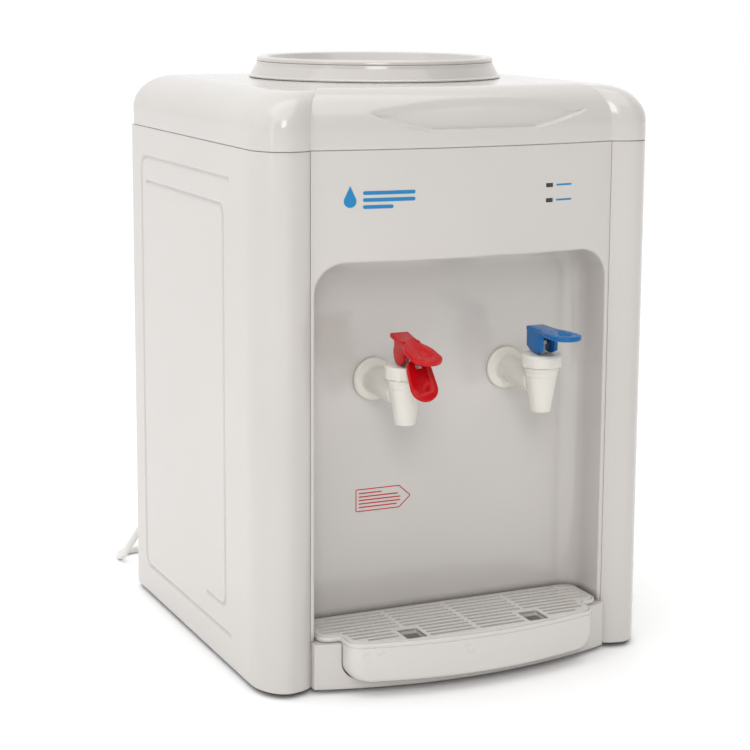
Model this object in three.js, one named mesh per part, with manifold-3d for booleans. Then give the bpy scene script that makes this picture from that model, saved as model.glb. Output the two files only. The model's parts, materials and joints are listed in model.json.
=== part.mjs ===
// Countertop water dispenser: a bottle seat on top, a cold and a hot tank inside, two lever
// taps in a niche, and a drip tray that slides out. Millimetres, +Z up, front towards -Y.
//
// Every piece is drawn in the cabinet's own frame: x = 0 is the middle, y = 0 is where the
// flat side panels begin, z = 0 is the cabinet's lower edge. The group at the end moves the
// cabinet so that the origin is at the bottom centre of the box around it, feet on z = 0.
import * as THREE from "three";
import { mergeVertices } from "three/addons/utils/BufferGeometryUtils.js";
import Module from "manifold-3d";

const wasm = await Module();
wasm.setup();

// ---- Driving dimensions ---------------------------------------------------------------
const GAP = 0.3; // air between pieces that touch
const WALL = 3; // moulded plastic wall
const HALF_W = 155; // cabinet half width
const BACK_Y = 268; // rear face of the side shells
const SEAM_Z = 380; // seam under the top cover
const COVER_TOP = 421;
const SHOULDER = 28; // rounding of the top cover's edge
const PANEL_HALF = 118.2; // front panel half width, between the two pillars
const SEAM_Y = -20.5; // front panel's edge at the pillar seam
const FASCIA_BOW = 11; // how far the fascia bows forward of that
const LEDGE_BOW = 20;
const LEDGE_Y = -26;
const LEDGE_TOP = 33.5;
const NICHE_TOP = 302;
const NICHE_BACK = 18; // front face of the niche's rear wall
const FEET = 4; // free height under the cabinet
const SEAT_Y = 136; // bottle axis
const SEAT_TOP = 437;
const TRAY_FRONT = -60;
const TRAY_BOW = 14;
const TRAY_HALF = 98.5; // the drawer part between the ledge's shoulders
const TRAY_WIDE = 113.4; // the rim that lies on the ledge
const TRAY_FLOOR = 8;
const TRAY_RIM = 33.8;
const TRAY_TOP = 37;
const CUP_HOLE_X = 49;
const TAP_X = 54;
const TAP_Y = -37; // nozzle axis
const TAP_Z = 211; // barrel axis
const CAP_TOP = 231;
const HINGE_Y = -44; // lever fulcrum
const HINGE_Z = 235.2;
const LEVER_TOP = 250;
const HOT_LEVER_TILT = 12; // degrees nose down at rest
const CATCH_ANGLE = 54; // degrees the safety catch hangs below level
const TANK_Y = 130;
const TANK_R = 78;
const TANK_BASE = 205;
const TANK_TOP = 372;
const SHELF_Z = 190;
const HOT_X = -60;
const HOT_Y = 125;
const HOT_R = 55;
const HOT_BASE = 44;
const HOT_TOP = 150;
const PORT_R = 5; // hose tails on tanks and taps
const BORE_R = 3;
const HOSE_R = 5.5;
const PANEL_Y = 261.7; // inner face of the back panel
const REAR_END = 278; // end of the drain cap
const LEVER_TIP = -82; // thumb end of the cold tap's lever
const DRAIN_Z = 40;
const SWITCH_Z = 70;
const SWITCH_X = { heating: 70, cooling: 100 };
const FAN_Z = 285;
const MODULE_Y = 226; // outer face of the cold block, where the cooling module sits
const CORD_R = 3;
const GLAND_X = -131;
const GLAND_Z = 40;
const GLAND_END = 289.5;
const ORIGIN_Y = (LEVER_TIP + REAR_END) / 2;

// ---- Materials ------------------------------------------------------------------------
function material(color, roughness, metalness = 0) {
  return new THREE.MeshStandardMaterial({ color, roughness, metalness });
}

const WHITE = material(0xdcd8d4, 0.22);
const TAP_WHITE = material(0xeeece6, 0.35);
const RED = material(0xc81420, 0.3);
const BLUE = material(0x1473c3, 0.3);
const DARK = material(0x1c1c1e, 0.5);
const LENS = material(0x2a1214, 0.2);
const RUBBER = material(0x26262a, 0.85);
const STEEL = material(0xb8bcc0, 0.3, 1);
const ALUMINIUM = material(0xc6c8ca, 0.4, 1);
const FOAM = material(0xf2f2f0, 0.95);
const SILICONE = material(0xe6e4da, 0.6);
const BOARD = material(0x1f6b3a, 0.6);
const CERAMIC = material(0xe9e6dc, 0.7);
const CORD_WHITE = material(0xe8e6e2, 0.5);

// ---- Solids: small helpers ------------------------------------------------------------
function solid(geometry) {
  const bare = geometry.clone();
  bare.deleteAttribute("normal");
  bare.deleteAttribute("uv");
  const merged = mergeVertices(bare, 1e-4);
  const vertProperties = new Float32Array(merged.attributes.position.array);
  const triVerts = new Uint32Array(merged.index.array);
  return new wasm.Manifold(new wasm.Mesh({ numProp: 3, vertProperties, triVerts }));
}

function geometryOf(body) {
  const mesh = body.getMesh();
  const geometry = new THREE.BufferGeometry();
  geometry.setAttribute("position", new THREE.BufferAttribute(mesh.vertProperties, 3));
  geometry.setIndex(new THREE.BufferAttribute(mesh.triVerts, 1));
  return geometry;
}

function join(...geometries) {
  return geometryOf(geometries.map(solid).reduce((a, b) => a.add(b)));
}

function cut(base, ...tools) {
  return geometryOf(tools.map(solid).reduce((a, b) => a.subtract(b), solid(base)));
}

function common(a, b) {
  return geometryOf(solid(a).intersect(solid(b)));
}

function box(x0, x1, y0, y1, z0, z1) {
  const geometry = new THREE.BoxGeometry(x1 - x0, y1 - y0, z1 - z0);
  return geometry.translate((x0 + x1) / 2, (y0 + y1) / 2, (z0 + z1) / 2);
}

// Cylinders and cones along each axis, from the lower to the upper coordinate.
function rodZ(x, y, z0, z1, r0, r1 = r0, sides = 24) {
  const geometry = new THREE.CylinderGeometry(r1, r0, z1 - z0, sides);
  return geometry.rotateX(Math.PI / 2).translate(x, y, (z0 + z1) / 2);
}

function rodY(x, y0, y1, z, r0, r1 = r0, sides = 24) {
  const geometry = new THREE.CylinderGeometry(r1, r0, y1 - y0, sides);
  return geometry.translate(x, (y0 + y1) / 2, z);
}

function rodX(x0, x1, y, z, r, sides = 24) {
  const geometry = new THREE.CylinderGeometry(r, r, x1 - x0, sides);
  return geometry.rotateZ(-Math.PI / 2).translate((x0 + x1) / 2, y, z);
}

// A profile of [radius, height] points turned about a vertical axis. It closes on the axis
// or on itself, and is turned so that its faces point out.
function lathe(profile, sides = 32, x = 0, y = 0) {
  const points = profile.map(([r, z]) => new THREE.Vector2(r, z));
  if (THREE.ShapeUtils.area(points) < 0) points.reverse();
  if (points.some((p) => p.x > 0) && points[0].x > 0) points.push(points[0].clone());
  const geometry = new THREE.LatheGeometry(points, sides);
  return geometry.rotateX(Math.PI / 2).translate(x, y, 0);
}

// The same profile turned about an axis along Y, heights counted along +Y.
function latheY(profile, sides, x, z) {
  const geometry = lathe(profile, sides);
  return geometry.rotateX(-Math.PI / 2).translate(x, 0, z);
}

function shapeOf(points) {
  return new THREE.Shape(points.map(([u, v]) => new THREE.Vector2(u, v)));
}

// An outline extruded along Z, X or Y.
function prismZ(points, z0, z1) {
  const options = { depth: z1 - z0, bevelEnabled: false };
  return new THREE.ExtrudeGeometry(shapeOf(points), options).translate(0, 0, z0);
}

function prismX(points, x0, x1) {
  const turn = new THREE.Matrix4().makeBasis(
    new THREE.Vector3(0, 1, 0),
    new THREE.Vector3(0, 0, 1),
    new THREE.Vector3(1, 0, 0),
  );
  return prismZ(points, x0, x1).applyMatrix4(turn);
}

function prismY(points, y0, y1) {
  return prismZ(points, -y1, -y0).rotateX(Math.PI / 2);
}

// Points on an arc, ends included, angles in degrees.
function arc(cx, cy, radius, from, to, steps) {
  return Array.from({ length: steps + 1 }, (_, i) => {
    const angle = THREE.MathUtils.degToRad(from + ((to - from) * i) / steps);
    return [cx + radius * Math.cos(angle), cy + radius * Math.sin(angle)];
  });
}

function roundedBox(cx, cy, w, h, r, steps = 3) {
  const x = w / 2 - r;
  const y = h / 2 - r;
  return [
    ...arc(cx + x, cy - y, r, -90, 0, steps),
    ...arc(cx + x, cy + y, r, 0, 90, steps),
    ...arc(cx - x, cy + y, r, 90, 180, steps),
    ...arc(cx - x, cy - y, r, 180, 270, steps),
  ];
}

// A polyline thickened to one closed outline, on its left-hand side.
function ribbon(line, thickness) {
  const offset = line.map((p, i) => {
    const a = line[Math.max(i - 1, 0)];
    const b = line[Math.min(i + 1, line.length - 1)];
    const back = new THREE.Vector2(p[0] - a[0], p[1] - a[1]).normalize();
    const on = new THREE.Vector2(b[0] - p[0], b[1] - p[1]).normalize();
    const along = back.clone().add(on).normalize();
    const edge = i > 0 ? back : on;
    const miter = thickness / Math.max(along.dot(edge), 0.5);
    return [p[0] - along.y * miter, p[1] + along.x * miter];
  });
  return [...line, ...offset.reverse()];
}

function mirrored(geometry) {
  const copy = geometry.clone().scale(-1, 1, 1);
  const index = copy.index.array;
  for (let i = 0; i < index.length; i += 3) {
    [index[i + 1], index[i + 2]] = [index[i + 2], index[i + 1]];
  }
  return copy;
}

function smoothCurve(points) {
  return new THREE.CatmullRomCurve3(points.map((p) => new THREE.Vector3(...p)));
}

// A round tube along a curve through the points; with a bore it is a hose.
function tube(points, radius, { sides = 8, steps = 16, bore = 0 } = {}) {
  const shape = shapeOf(arc(0, 0, radius, 0, 360 - 360 / sides, sides - 1));
  if (bore) {
    const hole = arc(0, 0, bore, 0, -360 + 360 / sides, sides - 1);
    shape.holes.push(new THREE.Path(hole.map(([u, v]) => new THREE.Vector2(u, v))));
  }
  const extrudePath = smoothCurve(points);
  return new THREE.ExtrudeGeometry(shape, { extrudePath, steps, curveSegments: 1 });
}

// Rings of equal point count joined into one closed skin, lowest ring first.
function loft(rings) {
  const count = rings[0].length;
  const position = rings.flat(2);
  const index = [];
  for (let k = 0; k + 1 < rings.length; k++) {
    for (let i = 0; i < count; i++) {
      const a = k * count + i;
      const b = k * count + ((i + 1) % count);
      index.push(a, b, b + count, a, b + count, a + count);
    }
  }
  const lid = rings[0].map(([x, y]) => new THREE.Vector2(x, y));
  const top = (rings.length - 1) * count;
  for (const [a, b, c] of THREE.ShapeUtils.triangulateShape(lid, [])) {
    index.push(c, b, a, top + a, top + b, top + c);
  }
  const geometry = new THREE.BufferGeometry();
  geometry.setAttribute("position", new THREE.Float32BufferAttribute(position, 3));
  geometry.setIndex(index);
  return geometry;
}

// ---- Cabinet outline ------------------------------------------------------------------
// A shallow bow that stands forward of an edge by its depth at x = 0, and by 0 at the reach.
function bowY(x, edge, bow, reach = PANEL_HALF) {
  return edge - bow * (1 - (x / reach) ** 2);
}

function bowLine(edge, bow, half, steps = 10, reach = PANEL_HALF) {
  return Array.from({ length: steps + 1 }, (_, i) => {
    const x = -half + (2 * half * i) / steps;
    return [x, bowY(x, edge, bow, reach)];
  });
}

// The right-hand pillar and side, from the seam round the nose to the rear corner.
const PILLAR = [
  [128, -25.2],
  [136, -26.3],
  [143.5, -23.3],
  [149.5, -16.5],
  [153.5, -7.5],
  [HALF_W, 2],
];
const REAR_CORNER = [
  [HALF_W, BACK_Y - 6],
  [HALF_W - 1.8, BACK_Y - 1.8],
  [HALF_W - 6, BACK_Y],
];

function cabinetOutline() {
  const right = [...PILLAR, ...REAR_CORNER];
  const left = right.map(([x, y]) => [-x, y]).reverse();
  return [...bowLine(SEAM_Y, FASCIA_BOW, PANEL_HALF), ...right, ...left];
}

// ---- Cabinet shells -------------------------------------------------------------------
function sideShell() {
  const seam = [
    [PANEL_HALF + 0.6, 14],
    [PANEL_HALF + 0.6, SEAM_Y],
  ];
  const line = [...seam, ...PILLAR, ...REAR_CORNER, [141, BACK_Y]];
  const shell = prismZ(ribbon(line, WALL), 0, SEAM_Z - GAP);
  return cut(shell, frontGroove(), rearGroove());
}

// Two soft grooves pressed into the flat side, each a C of straight runs.
function groove(line) {
  return prismX(ribbon(line, 4), HALF_W - 1.2, HALF_W + 2);
}

function frontGroove() {
  const line = [
    [43, 24.7],
    ...arc(229, 34.7, 10, -90, 0, 3),
    ...arc(229, 344.6, 10, 0, 90, 3),
    [43, 354.6],
  ];
  return groove(line);
}

function rearGroove() {
  const line = [
    [227, 335],
    ...arc(63, 327, 8, 90, 180, 3),
    ...arc(63, 51.7, 8, 180, 270, 3),
    [93, 43.7],
  ];
  return groove(line);
}

// The cabinet outline drawn in by an inset, at one height.
function coverRing(inset, z) {
  const midY = (SEAM_Y - FASCIA_BOW + BACK_Y) / 2;
  const halfY = BACK_Y - midY;
  return cabinetOutline().map(([x, y]) => [
    (x * (HALF_W - inset)) / HALF_W,
    midY + ((y - midY) * (halfY - inset)) / halfY,
    z,
  ]);
}

function coverBlock(inset, base, top) {
  const rings = [coverRing(inset, base)];
  for (let angle = 0; angle <= 90; angle += 18) {
    const a = THREE.MathUtils.degToRad(angle);
    const z = top - SHOULDER + SHOULDER * Math.sin(a);
    rings.push(coverRing(inset + SHOULDER * (1 - Math.cos(a)), z));
  }
  return loft(rings);
}

function topCover() {
  const outer = coverBlock(0, SEAM_Z + GAP, COVER_TOP);
  const inner = coverBlock(WALL, SEAM_Z - 2, COVER_TOP - WALL);
  return cut(outer, inner, rodZ(0, SEAT_Y, COVER_TOP - 9, COVER_TOP + 2, 85.6, 85.6, 32));
}

// Fascia, niche and ledge are one moulding between the pillars.
function frontPanel() {
  const back = NICHE_BACK + WALL;
  const rear = [
    [PANEL_HALF, back],
    [-PANEL_HALF, back],
  ];
  const fascia = [...bowLine(SEAM_Y, FASCIA_BOW, PANEL_HALF), ...rear];
  const ledge = [...bowLine(LEDGE_Y, LEDGE_BOW, PANEL_HALF), ...rear];
  const block = join(prismZ(fascia, 0, SEAM_Z - GAP), prismZ(ledge, 0, LEDGE_TOP));
  return cut(block, nicheSpace(), fasciaPocket(), trayWell(), ledgeHollow(), ...panelHoles());
}

// The niche: rounded upper corners, and a fillet where it meets its rear wall.
function nicheSpace() {
  const half = PANEL_HALF - WALL;
  const fillet = 14;
  const outline = [
    [-half, LEDGE_TOP],
    [half, LEDGE_TOP],
    ...arc(half - 22, NICHE_TOP - 22, 22, 0, 90, 4),
    ...arc(22 - half, NICHE_TOP - 22, 22, 90, 180, 4),
  ];
  const midZ = (LEDGE_TOP + NICHE_TOP) / 2;
  const reach = NICHE_TOP - midZ;
  const lower = (z, inset) => (z < midZ ? z : midZ + ((z - midZ) * (reach - inset)) / reach);
  const ring = (inset, forward) =>
    outline.map(([x, z]) => [(x * (half - inset)) / half, lower(z, inset), forward]);
  const rings = [];
  for (let angle = 0; angle <= 90; angle += 30) {
    const a = THREE.MathUtils.degToRad(angle);
    rings.push(ring(fillet * (1 - Math.sin(a)), fillet * (1 - Math.cos(a)) - NICHE_BACK));
  }
  rings.push(ring(0, 80));
  return loft(rings).rotateX(Math.PI / 2);
}

function fasciaPocket() {
  const half = PANEL_HALF - WALL;
  const outline = [
    ...bowLine(SEAM_Y + WALL, FASCIA_BOW, half),
    [half, NICHE_BACK + 10],
    [-half, NICHE_BACK + 10],
  ];
  return prismZ(outline, NICHE_TOP + WALL, SEAM_Z - WALL);
}

// The drawer's front outline: square above, rounded lower corners.
function drawerFace(grow) {
  const half = TRAY_HALF + grow;
  const floor = TRAY_FLOOR - grow;
  return [
    ...arc(half - 12, floor + 12, 12, -90, 0, 4),
    [half, 60],
    [-half, 60],
    ...arc(12 - half, floor + 12, 12, 180, 270, 4),
  ];
}

function trayWell() {
  return prismY(drawerFace(0.6), -90, NICHE_BACK - 0.6);
}

// The ledge is open from below: one pocket under the well and one under each shoulder.
function ledgeHollow() {
  const half = PANEL_HALF - WALL;
  const outline = [...bowLine(LEDGE_Y + WALL, LEDGE_BOW, half), [half, 15], [-half, 15]];
  const low = prismZ(outline, -2, TRAY_FLOOR - 3.6);
  const high = prismZ(outline, -1, LEDGE_TOP - WALL);
  const middle = box(-TRAY_HALF - 3.6, TRAY_HALF + 3.6, -90, 40, -5, 60);
  return join(low, cut(high, middle));
}

const LED_Z = [350.8, 340];
const LED_X = 62.7;

function panelHoles() {
  const taps = [-TAP_X, TAP_X].map((x) => rodY(x, NICHE_BACK - 4, 40, TAP_Z, 8.6, 8.6, 20));
  const lamps = LED_Z.map((z) => box(LED_X - 2.7, LED_X + 2.7, -40, -10, z - 1.1, z + 1.1));
  return [...taps, ...lamps];
}

// The lamp board clips behind the fascia, with a lens in each window.
function indicatorBoard() {
  const front = bowY(LED_X, SEAM_Y, FASCIA_BOW) + 0.2;
  const lens = (z) => box(LED_X - 2.3, LED_X + 2.3, front, -17, z - 0.8, z + 0.8);
  return join(box(46, 80, -18, -16.4, 332, 360), ...LED_Z.map(lens));
}

function backPanel() {
  const plate = prismY(roundedBox(0, 191, 2 * 148.6, 370, 4), PANEL_Y, PANEL_Y + WALL);
  const switches = Object.values(SWITCH_X).map((x) =>
    box(x - 7.3, x + 7.3, 250, 280, SWITCH_Z - 11.3, SWITCH_Z + 11.3),
  );
  const ports = [
    rodY(HOT_X, 250, 280, DRAIN_Z, 7.4, 7.4, 16),
    rodY(GLAND_X, 250, 280, GLAND_Z, 5.4, 5.4, 12),
  ];
  return cut(plate, ...ventSlots(FAN_Z, 8, 72), ...ventSlots(130, 4, 60), ...switches, ...ports);
}

function ventSlots(middle, count, width) {
  return Array.from({ length: count }, (_, i) => {
    const z = middle + (i - (count - 1) / 2) * 9;
    return box(-width / 2, width / 2, 250, 280, z - 2.2, z + 2.2);
  });
}

const FOOT_SPOTS = [
  [-125, 46],
  [125, 46],
  [-125, 236],
  [125, 236],
];

function basePan() {
  const width = 2 * (HALF_W - WALL - 1);
  const outline = roundedBox(0, 141, width, 238, 4);
  const inner = roundedBox(0, 141, width - 4, 234, 3);
  const holes = FOOT_SPOTS.map(([x, y]) => rodZ(x, y, 0, 8, 4.4, 4.4, 10));
  return cut(prismZ(outline, 2, 12), prismZ(inner, 4, 20), ...holes);
}

// A rubber foot with a button that snaps through the base pan.
function foot([x, y]) {
  const profile = [
    [0, -FEET],
    [9.5, -FEET],
    [11, 1.7],
    [3.8, 1.7],
    [3.8, 4.3],
    [5.4, 4.6],
    [3, 7.5],
    [0, 7.5],
  ];
  return lathe(profile, 14, x, y);
}

// ---- Bottle seat ----------------------------------------------------------------------
function bottleCollar() {
  const base = COVER_TOP + GAP;
  const profile = [
    [86, base],
    [96.5, base],
    [96.5, base + 1.3],
    [95, base + 1.5],
    [90.5, 433.2],
    [83.6, 433.2],
    [83.6, 430],
    [87.5, 430],
    [91, base + 3],
    [86, base + 3],
  ];
  return lathe(profile, 32, 0, SEAT_Y);
}

// A bowl with a rim and a neck sleeve, listed down the top face and back up underneath.
function bottleSeat() {
  const profile = [
    [90.4, 433.6],
    [90.1, SEAT_TOP - 0.8],
    [88.2, SEAT_TOP],
    [82.2, SEAT_TOP - 1],
    [76.5, 424],
    [61, 405],
    [42, 397],
    [34.5, 389],
    [33, 377],
    [36, 377],
    [37.2, 386.5],
    [43.4, 393.4],
    [62, 401.4],
    [78.2, 421.4],
    [83, 431],
    [83, 433.6],
  ];
  return join(lathe(profile, 30, 0, SEAT_Y), ...[0, 60, 120, 180, 240, 300].map(seatRib));
}

// A low rib down the bowl from the rim to the neck.
function seatRib(angle) {
  const line = [
    [43, 396],
    [61, 403.6],
    [76.5, 421.8],
    [77.5, 425.2],
    [61, 406],
    [43, 398.4],
  ];
  const rib = prismY(line, -0.8, 0.8);
  return rib.rotateZ(THREE.MathUtils.degToRad(angle)).translate(0, SEAT_Y, 0);
}

// The spike that opens the bottle's cap, with windows into the pipe down to the cold tank.
function feedProbe() {
  const profile = [
    [8.5, 350],
    [8.5, 374.6],
    [36, 374.6],
    [36, 376.7],
    [10, 378],
    [8.5, 405],
    [0, 414],
    [0, 407],
    [5.5, 402],
    [6, 350],
  ];
  const window = (angle) =>
    box(-20, 20, -2.4, 2.4, 384, 399)
      .rotateZ(THREE.MathUtils.degToRad(angle))
      .translate(0, SEAT_Y, 0);
  return cut(lathe(profile, 16, 0, SEAT_Y), window(0), window(90));
}

// ---- Cold side ------------------------------------------------------------------------
const COLD_OUTLET = [50, 95];

function port(x, y, z0, z1) {
  return rodZ(x, y, z0, z1, PORT_R, PORT_R, 12);
}

function portBore(x, y, z0, z1) {
  return rodZ(x, y, z0, z1, BORE_R, BORE_R, 12);
}

// Clearance for a cold tank port through the jacket and the shelf.
function portHole(x, y) {
  return rodZ(x, y, 180, 210, PORT_R + 1.2, PORT_R + 1.2, 12);
}

// A round vessel with a chamfered bottom edge.
function vessel(radius, base, top) {
  const profile = [
    [0, base],
    [radius - 6, base],
    [radius, base + 6],
    [radius, top],
    [0, top],
  ];
  return lathe(profile, 32, 0, TANK_Y);
}

function coldTank() {
  const [x, y] = COLD_OUTLET;
  const outside = join(
    vessel(TANK_R, TANK_BASE, TANK_TOP),
    box(-30, 30, 196, 210.5, FAN_Z - 30, FAN_Z + 30),
    port(x, y, SHELF_Z - 4, 207),
    port(0, TANK_Y, SHELF_Z - 4, 207),
  );
  const room = vessel(TANK_R - 2.5, TANK_BASE + 2.5, TANK_TOP + 2);
  const window = box(-22, 22, 190, 220, FAN_Z - 22, FAN_Z + 22);
  return cut(outside, room, window, portBore(x, y, 180, 215), portBore(0, TANK_Y, 180, 215));
}

function tankLid() {
  const base = TANK_TOP + GAP;
  const plate = rodZ(0, TANK_Y, base, base + 2, TANK_R + 2, TANK_R + 2, 32);
  return cut(plate, rodZ(0, SEAT_Y, base - 1, base + 4, 12, 12, 20));
}

// The baffle keeps warm water above the cold, and its pipe feeds the hot tank.
function tankBaffle() {
  const disc = rodZ(0, TANK_Y, 300, 302, TANK_R - 4, TANK_R - 4, 28);
  const pipe = rodZ(0, TANK_Y, 208, 301, 6, 6, 12);
  const holes = [0, 60, 120, 180, 240, 300].map((angle) =>
    rodZ(58, 0, 290, 310, 5, 5, 8)
      .rotateZ(THREE.MathUtils.degToRad(angle))
      .translate(0, TANK_Y, 0),
  );
  return cut(join(disc, pipe), rodZ(0, TANK_Y, 200, 310, 4, 4, 12), ...holes);
}

function coldJacket() {
  const [x, y] = COLD_OUTLET;
  const block = rodZ(0, TANK_Y, SHELF_Z + 2.3, 366, 90, 90, 32);
  const room = rodZ(0, TANK_Y, TANK_BASE - GAP, 370, TANK_R + 0.6, TANK_R + 0.6, 32);
  const window = box(-30.6, 30.6, 190, 240, FAN_Z - 30.6, FAN_Z + 30.6);
  const holes = [portHole(x, y), portHole(0, TANK_Y)];
  return cut(block, room, window, ...holes);
}

function tankShelf() {
  const [x, y] = COLD_OUTLET;
  const plate = box(-148, 148, 62, 246, SHELF_Z, SHELF_Z + 2);
  const leg = (side) => {
    const outer = Math.max(side * 148, side * 146);
    return box(outer - 2, outer, 70, 240, 4.3, SHELF_Z + 1);
  };
  const windows = box(-160, 160, 100, 210, 50, 160);
  const frame = join(plate, leg(1), leg(-1));
  return cut(frame, windows, portHole(x, y), portHole(0, TANK_Y));
}

function coldBlock() {
  return box(-21.6, 21.6, 204, MODULE_Y, FAN_Z - 21.6, FAN_Z + 21.6);
}

function coolingModule() {
  return box(-20, 20, MODULE_Y + GAP, MODULE_Y + 3.7, FAN_Z - 20, FAN_Z + 20);
}

function heatSink() {
  const base = MODULE_Y + 4;
  const fins = 9;
  const pitch = 10.2;
  const outline = [
    [-45, base],
    [45, base],
    [45, base + 5],
  ];
  for (let i = fins - 1; i >= 0; i--) {
    const x = (i - (fins - 1) / 2) * pitch;
    outline.push([x + 1, base + 5], [x + 0.8, 249.4], [x - 0.8, 249.4], [x - 1, base + 5]);
  }
  outline.push([-45, base + 5]);
  return prismZ(outline, FAN_Z - 45, FAN_Z + 45);
}

const FAN_BACK = 261.4;

function fanFrame() {
  const ring = cut(
    box(-40, 40, 250, FAN_BACK, FAN_Z - 40, FAN_Z + 40),
    rodY(0, 240, 270, FAN_Z, 37, 37, 28),
  );
  const struts = [
    box(-38, 38, FAN_BACK - 2, FAN_BACK, FAN_Z - 2, FAN_Z + 2),
    box(-2, 2, FAN_BACK - 2, FAN_BACK, FAN_Z - 38, FAN_Z + 38),
  ];
  return join(ring, rodY(0, FAN_BACK - 2, FAN_BACK, FAN_Z, 13, 13, 16), ...struts);
}

function fanRotor() {
  const blades = Array.from({ length: 7 }, (_, i) =>
    box(11, 35, -4, 4, -0.8, 0.8)
      .rotateX(THREE.MathUtils.degToRad(35))
      .rotateY((i * 2 * Math.PI) / 7)
      .translate(0, 255, FAN_Z),
  );
  return join(rodY(0, 251, 258.9, FAN_Z, 12.5, 12.5, 21), ...blades);
}

// ---- Hot side -------------------------------------------------------------------------
const HOT_OUTLET_Y = 97;
const HOT_INLET_Z = 56;
const HOT_DRAIN_Z = 54;
const INLET_END = HOT_X + HOT_R + 17;
const DRAIN_START = HOT_Y + HOT_R + 17;

function hotTank() {
  const wall = 1.5;
  const vessel = rodZ(HOT_X, HOT_Y, HOT_BASE, HOT_TOP, HOT_R, HOT_R, 32);
  const roomR = HOT_R - wall;
  const room = rodZ(HOT_X, HOT_Y, HOT_BASE + wall, HOT_TOP - wall, roomR, roomR, 32);
  const ports = [
    port(HOT_X, HOT_OUTLET_Y, HOT_TOP - 1, HOT_TOP + 16),
    rodX(HOT_X + HOT_R - 3, INLET_END, HOT_Y, HOT_INLET_Z, PORT_R, 12),
    rodY(HOT_X, HOT_Y + HOT_R - 3, DRAIN_START, HOT_DRAIN_Z, PORT_R, PORT_R, 12),
  ];
  const bores = [
    portBore(HOT_X, HOT_OUTLET_Y, HOT_TOP - 8, HOT_TOP + 20),
    rodX(HOT_X + HOT_R - 8, INLET_END + 5, HOT_Y, HOT_INLET_Z, BORE_R, 12),
    rodY(HOT_X, HOT_Y + HOT_R - 8, DRAIN_START + 5, HOT_DRAIN_Z, BORE_R, BORE_R, 12),
  ];
  const legs = [30, 150, 270].map((angle) =>
    box(38, 46, -4, 4, 4.3, HOT_BASE + 1)
      .rotateZ(THREE.MathUtils.degToRad(angle))
      .translate(HOT_X, HOT_Y, 0),
  );
  return cut(join(vessel, ...legs, ...ports), room, ...bores);
}

function bandHeater() {
  const ring = lathe(
    [
      [HOT_R + GAP, 66],
      [HOT_R + 2.3, 66],
      [HOT_R + 2.3, 104],
      [HOT_R + GAP, 104],
    ],
    32,
    HOT_X,
    HOT_Y,
  );
  return cut(ring, box(HOT_X - 90, HOT_X - 30, HOT_Y - 3, HOT_Y + 3, 60, 110));
}

const THERMOSTATS = { hot_thermostat: [HOT_X - 24, 138], overheat_cutout: [HOT_X + 22, 140] };

// A foam hood over the hot tank, open below, with a hole for each port and thermostat.
function hotJacket() {
  const block = rodZ(HOT_X, HOT_Y, 46, 163, 69, 69, 32);
  const room = rodZ(HOT_X, HOT_Y, 40, HOT_TOP + GAP, HOT_R + 3, HOT_R + 3, 32);
  const holes = [
    rodZ(HOT_X, HOT_OUTLET_Y, 140, 180, 6.2, 6.2, 12),
    box(HOT_X + 40, HOT_X + 90, HOT_Y - 6, HOT_Y + 6, 40, HOT_INLET_Z + 6),
    box(HOT_X - 6, HOT_X + 6, HOT_Y + 40, HOT_Y + 90, 40, HOT_DRAIN_Z + 6),
    ...Object.values(THERMOSTATS).map(([x, y]) => rodZ(x, y, 140, 180, 10, 10, 14)),
  ];
  return cut(block, room, ...holes);
}

function thermostat([x, y]) {
  const base = HOT_TOP + GAP;
  const body = rodZ(x, y, base, base + 7, 8, 8, 16);
  const tab = (at) => box(at - 0.4, at + 0.4, y - 3, y + 3, base + 6, base + 15);
  return join(body, tab(x - 4), tab(x + 4));
}

function powerBoard() {
  const board = box(60, 136, 100, 210, 14, 15.6);
  const posts = [
    [66, 106],
    [130, 106],
    [66, 204],
    [130, 204],
  ].map(([x, y]) => rodZ(x, y, 4.3, 15, 3, 3, 8));
  const parts = [
    box(68, 100, 118, 150, 15, 44),
    box(106, 130, 120, 128, 15, 40),
    rodZ(112, 160, 15, 44, 9, 9, 16),
    box(72, 96, 170, 196, 15, 30),
  ];
  return join(board, ...posts, ...parts);
}

// ---- Hoses ----------------------------------------------------------------------------
function hose(points) {
  return tube(points, HOSE_R, { sides: 6, bore: 3.6, steps: 12 });
}

const TAP_TAIL = 40; // rear end of a tap's hose tail

// From a tap's tail down between the niche wall and the cold tank's jacket.
function tapDrop(x) {
  return [
    [x, TAP_TAIL + GAP, TAP_Z],
    [x, TAP_TAIL + 3.5, TAP_Z],
    [x, 47, 205.5],
    [x, 48, 197],
    [x, 49, 187],
    [x, 56, 176],
  ];
}

function coldHose() {
  const [x, y] = COLD_OUTLET;
  const end = SHELF_Z - 4 - GAP;
  const landing = [
    [x, y, end - 6],
    [x, y, end],
  ];
  return hose([...tapDrop(TAP_X), [52, 72, 170], [x, 89, 172], ...landing]);
}

function hotHose() {
  const end = HOT_TOP + 16 + GAP;
  const landing = [
    [HOT_X, HOT_OUTLET_Y, end + 6],
    [HOT_X, HOT_OUTLET_Y, end],
  ];
  return hose([...tapDrop(-TAP_X), [-57, 74, 177], [HOT_X, 90, 180], ...landing]);
}

function feedHose() {
  const start = SHELF_Z - 4 - GAP;
  return hose([
    [0, TANK_Y, start],
    [0, TANK_Y, start - 5],
    [9, 129, 173],
    [19, 128, 163],
    [26, 127, 145],
    [30, 126, 110],
    [30, 125, 78],
    [26, 125, 62],
    [INLET_END + 6, HOT_Y, HOT_INLET_Z],
    [INLET_END + GAP, HOT_Y, HOT_INLET_Z],
  ]);
}

function drainHose() {
  return hose([
    [HOT_X, DRAIN_START + GAP, HOT_DRAIN_Z],
    [HOT_X, DRAIN_START + 5, HOT_DRAIN_Z],
    [HOT_X, 221, 46.5],
    [HOT_X, 240, DRAIN_Z],
    [HOT_X, 245.7, DRAIN_Z],
  ]);
}

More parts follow.
